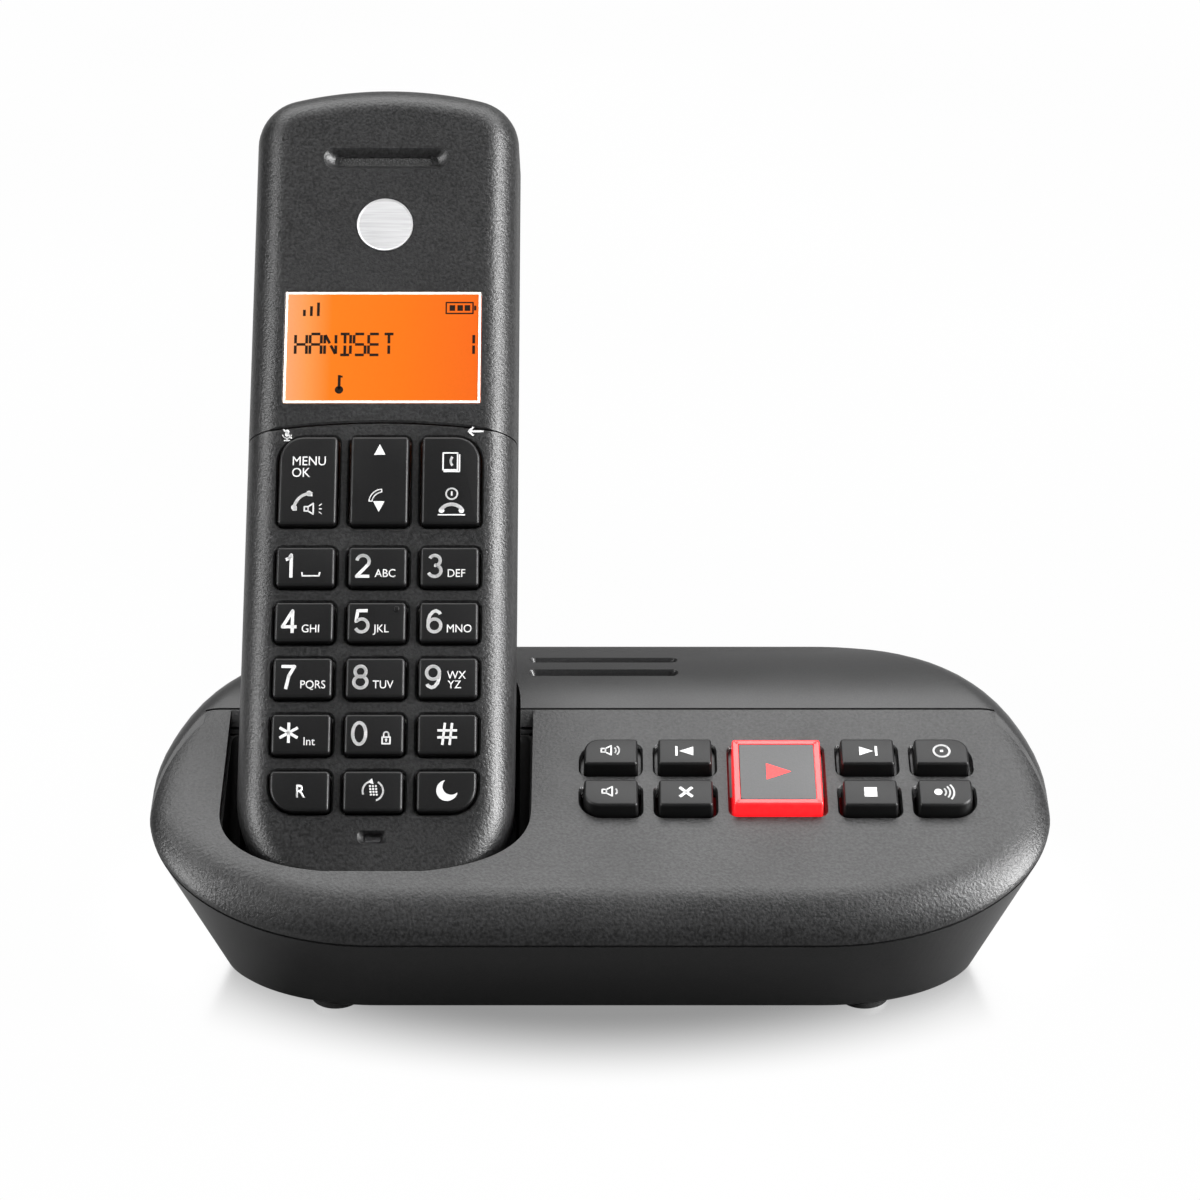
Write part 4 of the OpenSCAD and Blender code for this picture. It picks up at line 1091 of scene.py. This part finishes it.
def floor_finish():
    """White to the eye, with a soft mirror that fades in front of the base; dull to every other ray."""
    material, nodes, links, shader = new_material("pale_floor")
    source = nodes.new("ShaderNodeTexCoord")
    tone = noise(nodes, links, source, 4, 2.0, 0.5)
    white = nodes.new("ShaderNodeEmission")
    links.new(ramp(nodes, links, tone, ((0.3, (0.985, 0.985, 0.985)), (0.7, (1, 1, 1)))),
              white.inputs["Color"])
    gloss = nodes.new("ShaderNodeBsdfGlossy")
    gloss.inputs["Color"].default_value = (2, 2, 2, 1)
    gloss.inputs["Roughness"].default_value = 0.16
    reach = nodes.new("ShaderNodeMapping")
    reach.inputs["Scale"].default_value = (1 / 0.078, 1 / 0.046, 0)
    links.new(source.outputs["Object"], reach.inputs["Vector"])
    away = nodes.new("ShaderNodeVectorMath")
    away.operation = "LENGTH"
    links.new(reach.outputs["Vector"], away.inputs[0])
    fade = nodes.new("ShaderNodeMapRange")
    fade.interpolation_type = "SMOOTHSTEP"
    fade.inputs["From Min"].default_value = 0.8
    fade.inputs["From Max"].default_value = 1.28
    fade.inputs["To Min"].default_value = 0.7
    fade.inputs["To Max"].default_value = 0.0
    links.new(away.outputs["Value"], fade.inputs["Value"])
    mirror = nodes.new("ShaderNodeMixShader")
    links.new(fade.outputs["Result"], mirror.inputs["Fac"])
    links.new(white.outputs["Emission"], mirror.inputs[1])
    links.new(gloss.outputs["BSDF"], mirror.inputs[2])
    dull = nodes.new("ShaderNodeBsdfDiffuse")
    dull.inputs["Color"].default_value = (0.1, 0.1, 0.1, 1)
    aside = nodes.new("ShaderNodeMath")
    aside.operation = "ABSOLUTE"
    split = nodes.new("ShaderNodeSeparateXYZ")
    links.new(source.outputs["Object"], split.inputs["Vector"])
    links.new(split.outputs["X"], aside.inputs[0])
    beside = nodes.new("ShaderNodeMapRange")
    beside.inputs["From Min"].default_value = 0.055
    beside.inputs["From Max"].default_value = 0.1
    beside.inputs["To Max"].default_value = 0.55
    links.new(aside.outputs["Value"], beside.inputs["Value"])
    lit = nodes.new("ShaderNodeEmission")
    links.new(beside.outputs["Result"], lit.inputs["Strength"])
    thrown = nodes.new("ShaderNodeAddShader")
    links.new(dull.outputs["BSDF"], thrown.inputs[0])
    links.new(lit.outputs["Emission"], thrown.inputs[1])
    path = nodes.new("ShaderNodeLightPath")
    choose = nodes.new("ShaderNodeMixShader")
    links.new(path.outputs["Is Camera Ray"], choose.inputs["Fac"])
    links.new(thrown.outputs["Shader"], choose.inputs[1])
    links.new(mirror.outputs["Shader"], choose.inputs[2])
    links.new(choose.outputs["Shader"], nodes["Material Output"].inputs["Surface"])
    return material


bpy.ops.mesh.primitive_plane_add(size=8)
floor = bpy.context.view_layer.objects.active
floor.name = "floor"
floor.data.materials.append(floor_finish())


def softbox(name, at, size, watts, aim=(0, 0, 0.06)):
    light = bpy.data.lights.new(name, "AREA")
    light.shape = "RECTANGLE"
    light.size, light.size_y = size
    light.energy = watts
    lamp = bpy.data.objects.new(name, light)
    bpy.context.scene.collection.objects.link(lamp)
    lamp.location = at
    lamp.rotation_euler = (Vector(aim) - Vector(at)).to_track_quat("-Z", "Y").to_euler()


softbox("top_back", (0.0, 0.42, 0.95), (1.5, 0.6), 14)
softbox("right_strip", (0.62, -0.14, 0.42), (0.14, 0.8), 16)
softbox("left_strip", (-0.62, -0.16, 0.42), (0.12, 0.7), 4)
softbox("right_low", (0.62, -0.3, 0.2), (0.1, 0.4), 3)
softbox("left_low", (-0.62, -0.25, 0.2), (0.08, 0.4), 1.5)
softbox("front_top", (0.0, -0.9, 1.1), (1.2, 0.4), 0.15)

world = bpy.data.worlds.new("studio")
bpy.context.scene.world = world
world.use_nodes = True
world_nodes, world_links = world.node_tree.nodes, world.node_tree.links
world_nodes["Background"].inputs["Color"].default_value = (1, 1, 1, 1)
sky = world_nodes.new("ShaderNodeTexCoord")
sky_axes = world_nodes.new("ShaderNodeSeparateXYZ")
world_links.new(sky.outputs["Generated"], sky_axes.inputs["Vector"])
backdrop = world_nodes.new("ShaderNodeMapRange")
backdrop.interpolation_type = "SMOOTHSTEP"
backdrop.inputs["From Min"].default_value = 0.5
backdrop.inputs["From Max"].default_value = 0.8
backdrop.inputs["To Min"].default_value = 0.05
backdrop.inputs["To Max"].default_value = 0.5
world_links.new(sky_axes.outputs["Y"], backdrop.inputs["Value"])
world_links.new(backdrop.outputs["Result"], world_nodes["Background"].inputs["Strength"])
bright = world_nodes.new("ShaderNodeBackground")
bright.inputs["Strength"].default_value = 1.0
path = world_nodes.new("ShaderNodeLightPath")
choose = world_nodes.new("ShaderNodeMixShader")
world_links.new(path.outputs["Is Camera Ray"], choose.inputs["Fac"])
world_links.new(world_nodes["Background"].outputs["Background"], choose.inputs[1])
world_links.new(bright.outputs["Background"], choose.inputs[2])
world_links.new(choose.outputs["Shader"], world_nodes["World Output"].inputs["Surface"])
bpy.context.scene.view_settings.view_transform = "Standard"

camera_data = bpy.data.cameras.new("camera")
camera_data.lens = 97.1
camera_data.clip_start, camera_data.clip_end = 0.01, 20
camera = bpy.data.objects.new("camera", camera_data)
bpy.context.scene.collection.objects.link(camera)
camera.location = (0, -0.5034, 0.32025)
camera.rotation_euler = (math.radians(90 - 27.18), 0, 0)
bpy.context.scene.camera = camera
